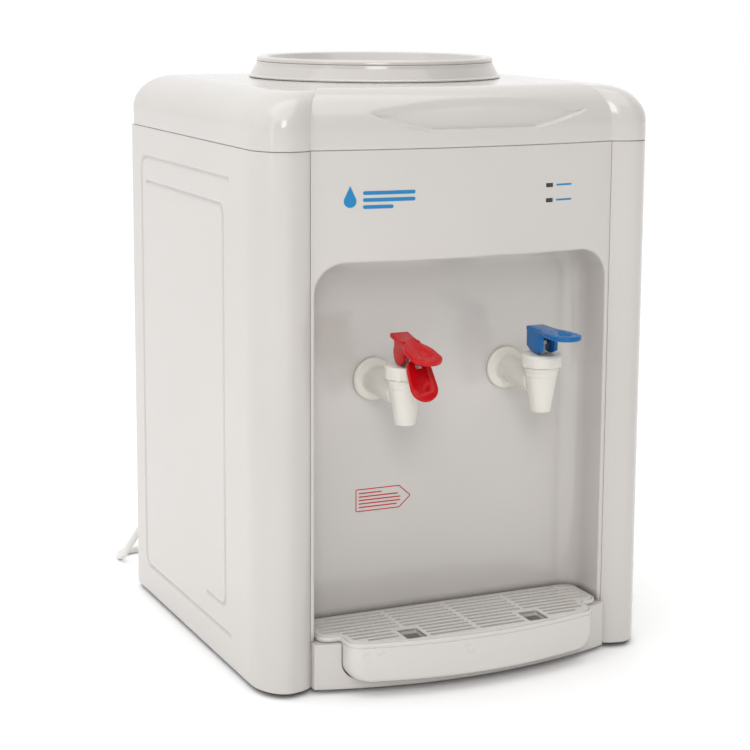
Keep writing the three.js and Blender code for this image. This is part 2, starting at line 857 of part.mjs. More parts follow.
function drainSpout() {
  const profile = [
    [3.8, 246],
    [5.5, 246],
    [5.5, 256],
    [11, 256],
    [11, 261.4],
    [7, 261.4],
    [7, 274],
    [3.8, 274],
  ];
  return latheY(profile, 16, HOT_X, DRAIN_Z);
}

function drainCap() {
  const profile = [
    [0, 274.5],
    [7.6, 274.5],
    [7.6, 266.5],
    [10, 266.5],
    [10, 277],
    [9, REAR_END],
    [0, REAR_END],
  ];
  return latheY(profile, 16, HOT_X, DRAIN_Z);
}

// ---- Switches -------------------------------------------------------------------------
function switchHousing(x) {
  const z = SWITCH_Z;
  const flange = box(x - 8.6, x + 8.6, 265, 267, z - 12.8, z + 12.8);
  const body = box(x - 7, x + 7, 246, 266, z - 11, z + 11);
  return cut(join(flange, body), box(x - 5.4, x + 5.4, 257, 270, z - 9.4, z + 9.4));
}

const ROCKER_TILT = 7;
const ROCKER_Y = 264;

function switchRocker(x) {
  const outline = [
    [-2, -8.2],
    [4.2, -8.2],
    [2.6, 0],
    [4.2, 8.2],
    [-2, 8.2],
    [-4, 0],
  ];
  const tilt = THREE.MathUtils.degToRad(-ROCKER_TILT);
  return prismX(outline, x - 5, x + 5).rotateX(tilt).translate(0, ROCKER_Y, SWITCH_Z);
}

// ---- Taps -----------------------------------------------------------------------------
function tapBody(x) {
  const cone = lathe(
    [
      [0, 189],
      [8.2, 189],
      [13, 219],
      [13, 229],
      [0, 229],
    ],
    18,
    x,
    TAP_Y,
  );
  const chamber = lathe(
    [
      [0, 180],
      [6.4, 180],
      [6.2, 200],
      [5, 202],
      [9.2, 202.1],
      [10.6, 210],
      [10.6, 240],
      [0, 240],
    ],
    14,
    x,
    TAP_Y,
  );
  const barrel = rodY(x, TAP_Y + 6, NICHE_BACK - 3, TAP_Z, 10.4, 9.2, 18);
  const flange = rodY(x, 14.4, NICHE_BACK - GAP, TAP_Z, 15, 15.7, 20);
  const shank = rodY(x, 17, 32, TAP_Z, 8, 8, 14);
  const tail = rodY(x, 31, TAP_TAIL, TAP_Z, PORT_R, PORT_R, 10);
  const bore = rodY(x, TAP_Y + 4, TAP_TAIL + 4, TAP_Z, 3.4, 3.4, 8);
  return cut(join(cone, barrel, flange, shank, tail), chamber, bore);
}

function tapNut(x) {
  const hexagon = arc(x, TAP_Z, 14, 0, 300, 5);
  return cut(prismY(hexagon, 21.4, 28), rodY(x, 15, 35, TAP_Z, 8.3, 8.3, 16));
}

// The screwed cap over the chamber, with a hole for the stem.
function tapCap(x) {
  const profile = [
    [13.3, 221.9],
    [15.4, 221.9],
    [15.9, 223.5],
    [15.9, 229.6],
    [14.6, CAP_TOP],
    [4.4, CAP_TOP],
    [4.4, 229.3],
    [13.3, 229.3],
  ];
  return lathe(profile, 20, x, TAP_Y);
}

// The plug that closes the seat, on the stem that the lever lifts.
function tapStem(x) {
  const profile = [
    [0, 202.4],
    [6, 202.4],
    [8.8, 204.4],
    [8.8, 207.4],
    [2.6, 208.6],
    [2.6, 237.6],
    [3.7, 238.2],
    [3.7, 241],
    [0, 241.6],
  ];
  return lathe(profile, 12, x, TAP_Y);
}

function tapSpring(x) {
  const turns = 4;
  const low = 209.6;
  const high = 228.4;
  const steps = 8;
  const line = Array.from({ length: turns * steps + 1 }, (_, i) => {
    const angle = (i * 2 * Math.PI) / steps;
    const z = low + ((high - low) * i) / (turns * steps);
    return [x + 6.2 * Math.cos(angle), TAP_Y + 6.2 * Math.sin(angle), z];
  });
  return tube(line, 0.7, { sides: 4, steps: turns * steps });
}

// The lever's top plate, narrow over the fork and wider where the thumb presses.
function leverPlate(x) {
  const tipRadius = 11;
  const outline = [
    [x - 7, -26],
    [x - 7, -44],
    [x - 8, -51],
    [x - 10.8, -58],
    ...arc(x, LEVER_TIP + tipRadius, tipRadius, 180, 360, 8),
    [x + 10.8, -58],
    [x + 8, -51],
    [x + 7, -44],
    [x + 7, -26],
  ];
  return prismZ(outline, LEVER_TOP - 3.4, LEVER_TOP);
}

function coldLever() {
  const side = [
    ...arc(HINGE_Y, HINGE_Z, 4, 180, 270, 3),
    ...arc(HINGE_Y + 13, HINGE_Z, 4, 270, 360, 3),
    [HINGE_Y + 17, LEVER_TOP - 2],
    [HINGE_Y - 4, LEVER_TOP - 2],
  ];
  const cheeks = [prismX(side, TAP_X - 7, TAP_X - 4.4), prismX(side, TAP_X + 4.4, TAP_X + 7)];
  return join(leverPlate(TAP_X), ...cheeks);
}

function hotLever() {
  const x = -TAP_X;
  const disc = [...arc(-40, 240, 8.4, 150, 390, 14), [-33, LEVER_TOP], [-46, LEVER_TOP - 1]];
  const cheeks = [prismX(disc, x - 7, x - 4.4), prismX(disc, x + 4.4, x + 7)];
  const tilt = THREE.MathUtils.degToRad(HOT_LEVER_TILT);
  const plate = leverPlate(x).translate(0, 30, -LEVER_TOP).rotateX(tilt);
  return join(plate.translate(0, -30, LEVER_TOP + 1.6), ...cheeks);
}

const CATCH_Y = -54;
const CATCH_Z = 238;

// The child-safety catch: a tongue that hangs in front of the tap and is squeezed up.
function safetyCatch() {
  const outline = [
    [-7, 2.5],
    [-9, 8],
    ...arc(0, 22, 10, 180, 0, 8),
    [9, 8],
    [7, 2.5],
  ].map(([u, v]) => [u, -v]);
  const tongue = prismZ(outline, -1.6, 1.6);
  const knuckle = rodX(-4, 4, 0, 0, 2.6, 10);
  const neck = box(-4, 4, -6, -0.5, -1.6, 1.6);
  const tilt = THREE.MathUtils.degToRad(CATCH_ANGLE);
  return join(tongue, neck, knuckle).rotateX(tilt).translate(-TAP_X, CATCH_Y, CATCH_Z);
}

// ---- Drip tray ------------------------------------------------------------------------
// The tray's plan: a bowed front with rounded corners, then wider shoulders behind it.
function trayCorner(inset) {
  const x = TRAY_HALF - 12;
  const y = bowY(x, TRAY_FRONT + TRAY_BOW, TRAY_BOW, TRAY_HALF) + 12;
  return arc(x, y, 12 - inset, -80, 0, 3);
}

function trayFront(inset) {
  const half = TRAY_HALF - 12;
  const line = bowLine(TRAY_FRONT + TRAY_BOW, TRAY_BOW, half, 8, TRAY_HALF);
  return line.map(([x, y]) => [x, y + inset]);
}

function bothSides(front, right) {
  return [...front, ...right, ...right.map(([x, y]) => [-x, y]).reverse()];
}

function trayOutline(inset) {
  const r = 12 - inset;
  const wideX = TRAY_WIDE - 12;
  const right = [
    ...trayCorner(inset),
    [TRAY_HALF - inset, -27 + inset],
    ...arc(wideX, -15, r, -90, 0, 3),
    ...arc(wideX, NICHE_BACK - 13.5, r, 0, 90, 3),
  ];
  return bothSides(trayFront(inset), right);
}

// The drawer's plan is the front part carried straight back.
function drawerPlan(inset) {
  const rear = NICHE_BACK - 1.5 - inset;
  return bothSides(trayFront(inset), [...trayCorner(inset), [TRAY_HALF - inset, rear]]);
}

function dripTray() {
  const block = prismZ(drawerPlan(0), TRAY_FLOOR, TRAY_TOP);
  const drawer = common(block, prismY(drawerFace(0), -90, 40));
  const rim = prismZ(trayOutline(0), TRAY_RIM, TRAY_TOP);
  const recess = prismZ(trayOutline(1.3), TRAY_RIM + 1.5, TRAY_TOP + 5);
  return cut(join(drawer, rim), recess, trayRoom());
}

function trayRoom() {
  const half = TRAY_HALF - 2.5;
  const floor = TRAY_FLOOR + 2.5;
  const face = [
    ...arc(half - 10, floor + 10, 10, -90, 0, 4),
    [half, 60],
    [-half, 60],
    ...arc(10 - half, floor + 10, 10, 180, 270, 4),
  ];
  return common(prismZ(drawerPlan(2.5), floor, 50), prismY(face, -90, 40));
}

// The grille: slats along X, a middle rib, and a framed square hole under each tap.
function dripGrille() {
  const base = TRAY_RIM + 1.8;
  const slots = Array.from({ length: 10 }, (_, i) => {
    const y = 9 - i * 6.4;
    return box(-120, 120, y - 1.9, y + 1.9, base - 2, base + 4);
  });
  const field = common(join(...slots), prismZ(trayOutline(5.5), base - 3, base + 5));
  const ribs = [box(-1.6, 1.6, -70, 30, base - 4, base + 6)];
  for (const x of [-CUP_HOLE_X, CUP_HOLE_X]) {
    ribs.push(box(x - 11, x + 11, -54, -28, base - 4, base + 6));
    ribs.push(box(x - 1.5, x + 1.5, -30, 30, base - 4, base + 6));
  }
  const square = (x) => box(x - 8, x + 8, -51, -31, base - 2, base + 4);
  const plate = prismZ(trayOutline(1.7), base, base + 1.7);
  return cut(plate, cut(field, ...ribs), square(-CUP_HOLE_X), square(CUP_HOLE_X));
}

// ---- Mains cord -----------------------------------------------------------------------
// These are in the part's own frame, with z = 0 on the table.
const COIL_X = -62;
const COIL_Y = 297;
const COIL_OUTER = 43; // radius of the outermost turn
const COIL_INNER = 24.4;
const COIL_HEIGHT = 12.4;

const CORD_RUN = [
  [-131, 191.8, 44],
  [-131, 201, 43.6],
  [-132.5, 210, 40.8],
  [-135.5, 217.5, 34.5],
  [-139.5, 222.5, 25.5],
  [-143.5, 227, 16.5],
  [-146.5, 232, 9],
  [-148, 239, 4.4],
  [-146.5, 247, 3.1],
  [-141, 253, 3.1],
  [-132, 256, 3.1],
  [-118, 256, 3.1],
  [-102, 254.6, 3.1],
  [-88, 254, 3.1],
];

const CORD_TAIL = [
  [-36, 254, 8],
  [-24, 254, 5.4],
  [-10, 253.6, 3.4],
  [6, 252.4, 3.1],
  [22, 251.4, 3.4],
  [36, 251, 5.4],
  [48, 251, 7.9],
  [57.7, 251, 8.8],
];

const PLUG_X = 58;
const PLUG_Y = 251;
const PLUG_Z = 8.8;

function strainRelief() {
  const profile = [
    [0, 257],
    [8, 257],
    [8, 261.4],
    [5, 261.4],
    [5, 265],
    [8.8, 265],
    [8.8, 267.5],
    [6.6, 268.5],
    [4.2, GLAND_END],
    [0, GLAND_END],
  ];
  return latheY(profile, 16, GLAND_X, GLAND_Z);
}

function cordCoil() {
  const outer = COIL_OUTER + CORD_R + 0.3;
  const inner = COIL_INNER - CORD_R - 0.3;
  const profile = [
    [inner, 0.1],
    [outer, 0.1],
    [outer, COIL_HEIGHT],
    [inner, COIL_HEIGHT],
  ];
  return lathe(profile, 28, COIL_X, COIL_Y);
}

// A flat two-pin plug lying on its side of the table.
function mainsPlug() {
  const neck = rodY(0, 0, 26, 0, 4, 6.5, 14);
  const grip = prismY(roundedBox(0, 0, 26, 14, 6), 24, 44);
  const head = prismY(roundedBox(0, 0, 36, 16.6, 8), 40, 60);
  const pins = [-9.5, 9.5].map((x) => rodY(x, 59, 79, 0, 2.4, 2.4, 10));
  const plug = join(neck, grip, head, ...pins);
  return plug.rotateZ(-Math.PI / 2).translate(PLUG_X, PLUG_Y, PLUG_Z);
}

// ---- Assembly -------------------------------------------------------------------------
const dispenser = new THREE.Group();
const cabinet = new THREE.Group();
cabinet.position.set(0, -ORIGIN_Y, FEET);
dispenser.add(cabinet);

function add(name, geometry, finish, parent = cabinet) {
  const mesh = new THREE.Mesh(geometry, finish);
  mesh.name = name;
  parent.add(mesh);
}

function addCabinet() {
  const side = sideShell();
  add("right_side_shell", side, WHITE);
  add("left_side_shell", mirrored(side), WHITE);
  add("top_cover", topCover(), WHITE);
  add("front_panel", frontPanel(), WHITE);
  add("back_panel", backPanel(), WHITE);
  add("base_pan", basePan(), STEEL);
  add("indicator_board", indicatorBoard(), LENS);
  const places = ["front_left", "front_right", "rear_left", "rear_right"];
  FOOT_SPOTS.forEach((spot, i) => add("foot_" + places[i], foot(spot), RUBBER));
}

function addBottleSeat() {
  add("bottle_collar", bottleCollar(), WHITE);
  add("bottle_seat", bottleSeat(), WHITE);
  add("feed_probe", feedProbe(), WHITE);
}

function addColdSide() {
  add("cold_tank", coldTank(), TAP_WHITE);
  add("cold_tank_lid", tankLid(), TAP_WHITE);
  add("tank_baffle", tankBaffle(), TAP_WHITE);
  add("cold_tank_jacket", coldJacket(), FOAM);
  add("tank_shelf", tankShelf(), STEEL);
  add("cold_block", coldBlock(), ALUMINIUM);
  add("cooling_module", coolingModule(), CERAMIC);
  add("heat_sink", heatSink(), ALUMINIUM);
  add("fan_frame", fanFrame(), DARK);
  add("fan_rotor", fanRotor(), DARK);
}

function addHotSide() {
  add("hot_tank", hotTank(), STEEL);
  add("band_heater", bandHeater(), STEEL);
  add("hot_tank_jacket", hotJacket(), FOAM);
  for (const [name, spot] of Object.entries(THERMOSTATS)) add(name, thermostat(spot), DARK);
  add("power_board", powerBoard(), BOARD);
}

function addWaterways() {
  add("cold_hose", coldHose(), SILICONE);
  add("hot_hose", hotHose(), SILICONE);
  add("feed_hose", feedHose(), SILICONE);
  add("drain_hose", drainHose(), SILICONE);
  add("drain_spout", drainSpout(), TAP_WHITE);
  add("drain_cap", drainCap(), TAP_WHITE);
}

function addSwitches() {
  for (const [name, x] of Object.entries(SWITCH_X)) {
    add(name + "_switch_housing", switchHousing(x), DARK);
    add(name + "_switch_rocker", switchRocker(x), name === "heating" ? RED : BLUE);
  }
}

function addTaps() {
  for (const [name, x] of Object.entries({ hot: -TAP_X, cold: TAP_X })) {
    add(name + "_tap_body", tapBody(x), TAP_WHITE);
    add(name + "_tap_nut", tapNut(x), TAP_WHITE);
    add(name + "_tap_cap", tapCap(x), TAP_WHITE);
    add(name + "_tap_stem", tapStem(x), SILICONE);
    add(name + "_tap_spring", tapSpring(x), STEEL);
  }
  add("cold_lever", coldLever(), BLUE);
  add("hot_lever", hotLever(), RED);
  add("hot_safety_catch", safetyCatch(), RED);
}

function addTray() {
  add("drip_tray", dripTray(), WHITE);
  add("drip_grille", dripGrille(), WHITE);
}

function addCord() {
  add("strain_relief", strainRelief(), RUBBER);
  add("mains_cord", tube(CORD_RUN, CORD_R, { steps: 26 }), CORD_WHITE, dispenser);
  add("mains_cord_coil", cordCoil(), CORD_WHITE, dispenser);
  add("mains_cord_tail", tube(CORD_TAIL, CORD_R, { steps: 12 }), CORD_WHITE, dispenser);
  add("mains_plug", mainsPlug(), CORD_WHITE, dispenser);
}

addCabinet();
addBottleSeat();
addColdSide();
addHotSide();
addWaterways();
addSwitches();
addTaps();
addTray();
addCord();

export default dispenser;
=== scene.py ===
"""Looks for the countertop water dispenser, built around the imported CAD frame."""
import json
import math

import bmesh
import bpy
import numpy as np
from mathutils import Matrix, Vector


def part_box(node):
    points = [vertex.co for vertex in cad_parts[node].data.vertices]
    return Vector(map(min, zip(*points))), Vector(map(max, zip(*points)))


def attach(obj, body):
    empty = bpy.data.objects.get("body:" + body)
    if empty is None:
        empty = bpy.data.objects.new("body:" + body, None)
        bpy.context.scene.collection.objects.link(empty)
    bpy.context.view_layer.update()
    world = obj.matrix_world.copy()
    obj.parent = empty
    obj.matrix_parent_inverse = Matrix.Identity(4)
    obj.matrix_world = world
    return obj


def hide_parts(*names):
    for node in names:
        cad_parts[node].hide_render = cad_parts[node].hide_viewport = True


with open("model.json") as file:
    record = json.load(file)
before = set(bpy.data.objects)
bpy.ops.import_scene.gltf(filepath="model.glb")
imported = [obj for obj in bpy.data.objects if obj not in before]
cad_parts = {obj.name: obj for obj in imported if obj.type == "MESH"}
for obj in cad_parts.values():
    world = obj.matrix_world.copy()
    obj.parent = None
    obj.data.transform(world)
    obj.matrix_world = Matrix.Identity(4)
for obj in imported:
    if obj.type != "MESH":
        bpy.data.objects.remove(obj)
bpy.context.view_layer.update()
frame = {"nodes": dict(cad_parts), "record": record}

# Pieces are drawn in the cabinet's own millimetres, as the CAD is: x = 0 in the middle,
# y = 0 where the flat sides begin, z = 0 at the cabinet's lower edge.
ORIGIN_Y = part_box("back_panel")[0].y * 1000 - 261.7
ORIGIN_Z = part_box("top_cover")[0].z * 1000 - 380.3

HALF_W = 155.0
BACK_Y = 268.0
SEAM_Z = 380.0
COVER_TOP = 421.0
SHOULDER = 28.0
PANEL_HALF = 118.2
SEAM_Y = -20.5
FASCIA_BOW = 11.0
LEDGE_Y = -26.0
LEDGE_BOW = 20.0
LEDGE_TOP = 33.5
NICHE_TOP = 302.0
NICHE_BACK = 18.0
SEAT_Y = 136.0
TAP_X = 54.0
TAP_Y = -37.0
TAP_Z = 211.0
LEVER_TIP = -82.0
LEVER_TOP = 250.0
SKIN_WALL = 1.1
EDGE_ROLL = 0.6
DRAWER_HALF = 99.1
DRAIN_X = -60
CORD_X = -131
PORT_Z = 40
SWITCHES = (("heating", 70), ("cooling", 100))
SWITCH_Z = 70
LAMPS = (("heating", 350.8), ("cooling", 340.0))


def place(point):
    x, y, z = point
    return (x / 1000, (y + ORIGIN_Y) / 1000, (z + ORIGIN_Z) / 1000)


def link(obj):
    bpy.context.scene.collection.objects.link(obj)
    return obj


# ---- Camera -----------------------------------------------------------------------------
CAMERA_TURN = (24.54, 9.42, 0.32)
CAMERA_AT = (-618, -1221, 494)
CAMERA_LENS = 92.5
CAMERA_SHIFT = -0.1


def make_camera():
    yaw, pitch, roll = map(math.radians, CAMERA_TURN)
    forward = Vector((math.sin(yaw) * math.cos(pitch), math.cos(yaw) * math.cos(pitch),
                      -math.sin(pitch)))
    level = Vector((math.cos(yaw), -math.sin(yaw), 0))
    above = level.cross(forward)
    right = level * math.cos(roll) + above * math.sin(roll)
    up = above * math.cos(roll) - level * math.sin(roll)
    data = bpy.data.cameras.new("camera")
    data.lens = CAMERA_LENS
    data.sensor_width = 36
    data.shift_y = CAMERA_SHIFT
    camera = bpy.data.objects.new("camera", data)
    turn = Matrix((right, up, -forward)).transposed().to_4x4()
    camera.matrix_world = Matrix.Translation(place(CAMERA_AT)) @ turn
    link(camera)
    bpy.context.scene.camera = camera


make_camera()


# ---- Materials --------------------------------------------------------------------------
def new_material(name):
    material = bpy.data.materials.new(name)
    material.use_nodes = True
    tree = material.node_tree
    return material, tree, tree.nodes["Principled BSDF"]


def add_node(tree, kind, **values):
    """A shader node with its inputs set by name, _ standing for a space."""
    node = tree.nodes.new("ShaderNode" + kind)
    for name, value in values.items():
        node.inputs[name.replace("_", " ")].default_value = value
    return node


def object_coords(tree):
    return add_node(tree, "TexCoord").outputs["Object"]


def noise_of(tree, scale, detail=2.0, stretch=None):
    source = object_coords(tree)
    noise = add_node(tree, "TexNoise", Scale=scale, Detail=detail)
    if stretch:
        mapping = add_node(tree, "Mapping", Scale=stretch)
        tree.links.new(source, mapping.inputs["Vector"])
        source = mapping.outputs["Vector"]
    tree.links.new(source, noise.inputs["Vector"])
    return noise.outputs["Fac"]


def spread(tree, value, low, high):
    node = add_node(tree, "MapRange", From_Min=0.3, From_Max=0.7, To_Min=low, To_Max=high)
    tree.links.new(value, node.inputs["Value"])
    return node.outputs["Result"]


def blend_colour(tree, factor, one, two):
    ramp = tree.nodes.new("ShaderNodeValToRGB")
    for stop, position, colour in zip(ramp.color_ramp.elements, (0.35, 0.65), (one, two)):
        stop.position = position
        stop.color = (*colour, 1)
    tree.links.new(factor, ramp.inputs["Fac"])
    return ramp.outputs["Color"]


def add_bump(tree, shader, height, strength, distance):
    bump = add_node(tree, "Bump", Strength=strength, Distance=distance)
    tree.links.new(height, bump.inputs["Height"])
    tree.links.new(bump.outputs["Normal"], shader.inputs["Normal"])


def moulded(name, colour, rough, vary=0.02, grain=900, bump=0.05, coat=0.0, soft=0.0,
            shine=0.5):
    """Injection-moulded plastic: faint flow shading, uneven gloss and an orange-peel skin."""
    material, tree, shader = new_material(name)
    dark = tuple(c * (1 - vary) for c in colour)
    light = tuple(min(c * (1 + vary), 1) for c in colour)
    flow = blend_colour(tree, noise_of(tree, 7, 3), dark, light)
    tree.links.new(flow, shader.inputs["Base Color"])
    gloss = spread(tree, noise_of(tree, 38, 4), rough * 0.88, rough * 1.14)
    tree.links.new(gloss, shader.inputs["Roughness"])
    add_bump(tree, shader, noise_of(tree, grain, 2), bump, 0.0004)
    for socket, value in (("IOR", 1.5), ("Specular IOR Level", shine), ("Coat Weight", coat),
                          ("Coat Roughness", 0.06), ("Subsurface Weight", soft),
                          ("Subsurface Radius", (0.004, 0.003, 0.002))):
        shader.inputs[socket].default_value = value
    return material


def brushed(name, colour, rough, stretch):
    material, tree, shader = new_material(name)
    streaks = noise_of(tree, 60, 6, stretch)
    tint = blend_colour(tree, streaks, tuple(c * 0.9 for c in colour), colour)
    tree.links.new(tint, shader.inputs["Base Color"])
    tree.links.new(spread(tree, streaks, rough * 0.75, rough * 1.3), shader.inputs["Roughness"])
    add_bump(tree, shader, streaks, 0.08, 0.0003)
    shader.inputs["Metallic"].default_value = 1.0
    return material


def beads(name, colour):
    """Expanded foam: pressed beads with fine dark joints."""
    material, tree, shader = new_material(name)
    cells = add_node(tree, "TexVoronoi", Scale=260)
    tree.links.new(object_coords(tree), cells.inputs["Vector"])
    tint = blend_colour(tree, cells.outputs["Distance"], colour, tuple(c * 0.93 for c in colour))
    tree.links.new(tint, shader.inputs["Base Color"])
    add_bump(tree, shader, cells.outputs["Distance"], 0.5, 0.0008)
    shader.inputs["Roughness"].default_value = 0.95
    return material


def circuit(name):
    material, tree, shader = new_material(name)
    tracks = add_node(tree, "TexBrick", Scale=90, Color1=(0.010, 0.10, 0.03, 1),
                      Color2=(0.014, 0.14, 0.045, 1), Mortar=(0.03, 0.22, 0.07, 1))
    tree.links.new(object_coords(tree), tracks.inputs["Vector"])
    tree.links.new(tracks.outputs["Color"], shader.inputs["Base Color"])
    add_bump(tree, shader, tracks.outputs["Fac"], 0.2, 0.0003)
    shader.inputs["Roughness"].default_value = 0.4
    return material


BODY = moulded("body_plastic", (0.56, 0.533, 0.507), 0.17, 0.012, 700, 0.012, 0.2)
TRAY = moulded("tray_plastic", (0.62, 0.595, 0.565), 0.30, 0.012, 900, 0.05)
TAP = moulded("tap_plastic", (0.68, 0.66, 0.60), 0.30, 0.015, 800, 0.04, 0.0, 0.08)
RED = moulded("red_plastic", (0.47, 0.002, 0.006), 0.22, 0.05, 700, 0.03, shine=0.25)
BLUE = moulded("blue_plastic", (0.002, 0.115, 0.34), 0.22, 0.05, 700, 0.03, shine=0.25)
DARK = moulded("dark_plastic", (0.012, 0.012, 0.013), 0.38, 0.1, 1200, 0.10)
LENS = moulded("lamp_lens", (0.020, 0.006, 0.006), 0.12, 0.1, 600, 0.02, 0.3)
RUBBER = moulded("rubber", (0.020, 0.020, 0.022), 0.75, 0.15, 1500, 0.25)
SILICONE = moulded("silicone", (0.76, 0.74, 0.68), 0.5, 0.03, 600, 0.08, 0.0, 0.1)
CERAMIC = moulded("ceramic", (0.78, 0.75, 0.68), 0.7, 0.03, 1800, 0.12)
CORD = moulded("cord_sheath", (0.76, 0.745, 0.71), 0.42, 0.03, 1600, 0.12)
STEEL = brushed("steel_sheet", (0.50, 0.51, 0.53), 0.34, (1, 1, 40))
WIRE = brushed("spring_wire", (0.55, 0.55, 0.56), 0.22, (30, 30, 1))
ALUMINIUM = brushed("aluminium", (0.60, 0.61, 0.62), 0.38, (40, 1, 1))
PIN = brushed("plug_pin", (0.66, 0.63, 0.57), 0.22, (1, 30, 30))
FOAM = beads("foam", (0.86, 0.86, 0.84))
BOARD = circuit("circuit_board")
INK_BLUE = moulded("blue_ink", (0.002, 0.19, 0.42), 0.35, 0.05, 2500, 0.05)
INK_RED = moulded("red_ink", (0.50, 0.012, 0.008), 0.45, 0.06, 2500, 0.05)

SLOT_MATERIAL = {
    "body_white": BODY, "tap_white": TAP, "tray_white": TRAY, "red_plastic": RED,
    "blue_plastic": BLUE, "dark_plastic": DARK, "lamp_lens": LENS, "foot_rubber": RUBBER,
    "steel": STEEL, "aluminium": ALUMINIUM, "foam": FOAM, "silicone": SILICONE,
    "circuit_board": BOARD, "ceramic_plate": CERAMIC, "cord_white": CORD, "spring_steel": WIRE,
}


def dress_frame():
    for part in frame["record"]["subparts"]:
        node = frame["nodes"][part["node"]]
        node.data.materials.clear()
        node.data.materials.append(SLOT_MATERIAL[part["material_slot"]])


dress_frame()


# ---- Shapes -----------------------------------------------------------------------------
def arc(cx, cy, radius, start, end, steps):
    out = []
    for i in range(steps + 1):
        a = math.radians(start + (end - start) * i / steps)
        out.append((cx + radius * math.cos(a), cy + radius * math.sin(a)))
    return out


def soften(points, radius, steps=4, closed=True):
    """The same line with each corner rounded."""
    out = []
    last = len(points) - 1
    for i, point in enumerate(points):
        here = Vector(point)
        if not closed and i in (0, last):
            out.append(tuple(here))
            continue
        back = Vector(points[i - 1]) - here
        on = Vector(points[(i + 1) % len(points)]) - here
        angle = back.angle(on)
        if angle > math.radians(170):
            out.append(tuple(here))
            continue
        reach = min(radius / math.tan(angle / 2), 0.45 * back.length, 0.45 * on.length)
        one = here + back.normalized() * reach
        two = here + on.normalized() * reach
        for k in range(steps + 1):
            t = k / steps
            out.append(tuple(one * (1 - t) ** 2 + here * (2 * t * (1 - t)) + two * t ** 2))
    return out


def smooth_line(points, per=6):
    """A Catmull-Rom line through the points."""
    pts = [np.array(p, float) for p in points]
    pts = [2 * pts[0] - pts[1], *pts, 2 * pts[-1] - pts[-2]]
    out = []
    for a, b, c, d in zip(pts, pts[1:], pts[2:], pts[3:]):
        for k in range(per):
            t = k / per
            out.append(tuple(0.5 * (2 * b + (c - a) * t + (2 * a - 5 * b + 4 * c - d) * t ** 2
                                    + (3 * b - a - 3 * c + d) * t ** 3)))
    out.append(tuple(pts[-2]))
    return out


def grid(rows, around=False, caps=True, fold=False):
    """Rows of equal length skinned with quads. around closes each row, fold closes the rows."""
    count = len(rows[0])
    verts = [tuple(p) for row in rows for p in row]
    faces = []
    ends = len(rows) if fold else len(rows) - 1
    for k in range(ends):
        low, high = k * count, ((k + 1) % len(rows)) * count
        for i in range(count if around else count - 1):
            j = (i + 1) % count
            faces.append((low + i, low + j, high + j, high + i))
    if caps and around and not fold:
        faces.append(tuple(reversed(range(count))))
        faces.append(tuple(range(len(verts) - count, len(verts))))
    return verts, faces


def lathe(profile, seg=72, x=0.0, y=0.0, along="z", at=0.0, ripple=None):
    """A profile of (radius, height) points turned about an axis."""
    rows = []
    for j in range(seg):
        a = 2 * math.pi * j / seg
        row = []
        for r, h in profile:
            h2 = h + (ripple(a, r, h) if ripple else 0)
            u, v = r * math.cos(a), r * math.sin(a)
            row.append((x + u, y + v, h2) if along == "z" else (x + u, h2, at + v))
        rows.append(row)
    closed = profile[0][0] > 0 or profile[-1][0] > 0
    return grid(rows, around=closed, fold=True)


def inset(outline, amount):
    """A closed outline moved inwards, counter-clockwise order."""
    pts = np.array(outline, float)
    before = np.roll(pts, 1, 0)
    after = np.roll(pts, -1, 0)
    tangent = after - before
    tangent /= np.maximum(np.linalg.norm(tangent, axis=1, keepdims=True), 1e-9)
    normal = np.stack([-tangent[:, 1], tangent[:, 0]], 1)
    return [tuple(p) for p in pts + normal * amount]


def slab(outline, low, high, edge=0.6, steps=3):
    """An outline raised from low to high with rounded edges, as (verts, faces)."""
    turns = [math.pi / 2 * k / steps for k in range(steps + 1)]
    rows = [(low + edge * (1 - math.cos(a)), edge * (1 - math.sin(a))) for a in turns]
    top = [(high + low - z, d) for z, d in reversed(rows)]
    loops = [[(x, y, z) for x, y in inset(outline, d)] for z, d in rows + top]
    return grid(loops, around=True)


def prism(outline, low, high):
    """An outline raised from low to high with square edges."""
    return grid([[(x, y, z) for x, y in outline] for z in (low, high)], around=True)


def turn_y(shape):
    """A shape drawn in (x, z, depth) turned so that its height runs along +Y."""
    verts, faces = shape
    return [(x, h, z) for x, z, h in verts], faces


def turn_x(shape):
    """A shape drawn in (y, z, depth) turned so that its height runs along +X."""
    verts, faces = shape
    return [(h, y, z) for y, z, h in verts], faces


def rounded_rect(cx, cy, w, h, r, steps=6):
    x, y = w / 2 - r, h / 2 - r
    return (arc(cx + x, cy - y, r, -90, 0, steps) + arc(cx + x, cy + y, r, 0, 90, steps)
            + arc(cx - x, cy + y, r, 90, 180, steps) + arc(cx - x, cy - y, r, 180, 270, steps))


def bow(x, edge=SEAM_Y, depth=FASCIA_BOW):
    return edge - depth * (1 - (x / PANEL_HALF) ** 2)


def smoothstep(value):
    t = np.clip(value, 0, 1)
    return t * t * (3 - 2 * t)


# ---- Pieces -----------------------------------------------------------------------------
def raw(name, shape):
    verts, faces = shape
    mesh = bpy.data.meshes.new(name)
    mesh.from_pydata([place(v) for v in verts], [], faces)
    tidy = bmesh.new()
    tidy.from_mesh(mesh)
    bmesh.ops.remove_doubles(tidy, verts=tidy.verts, dist=2e-6)
    bmesh.ops.recalc_face_normals(tidy, faces=tidy.faces)
    tidy.to_mesh(mesh)
    tidy.free()
    obj = bpy.data.objects.new(name, mesh)
    link(obj)
    return obj


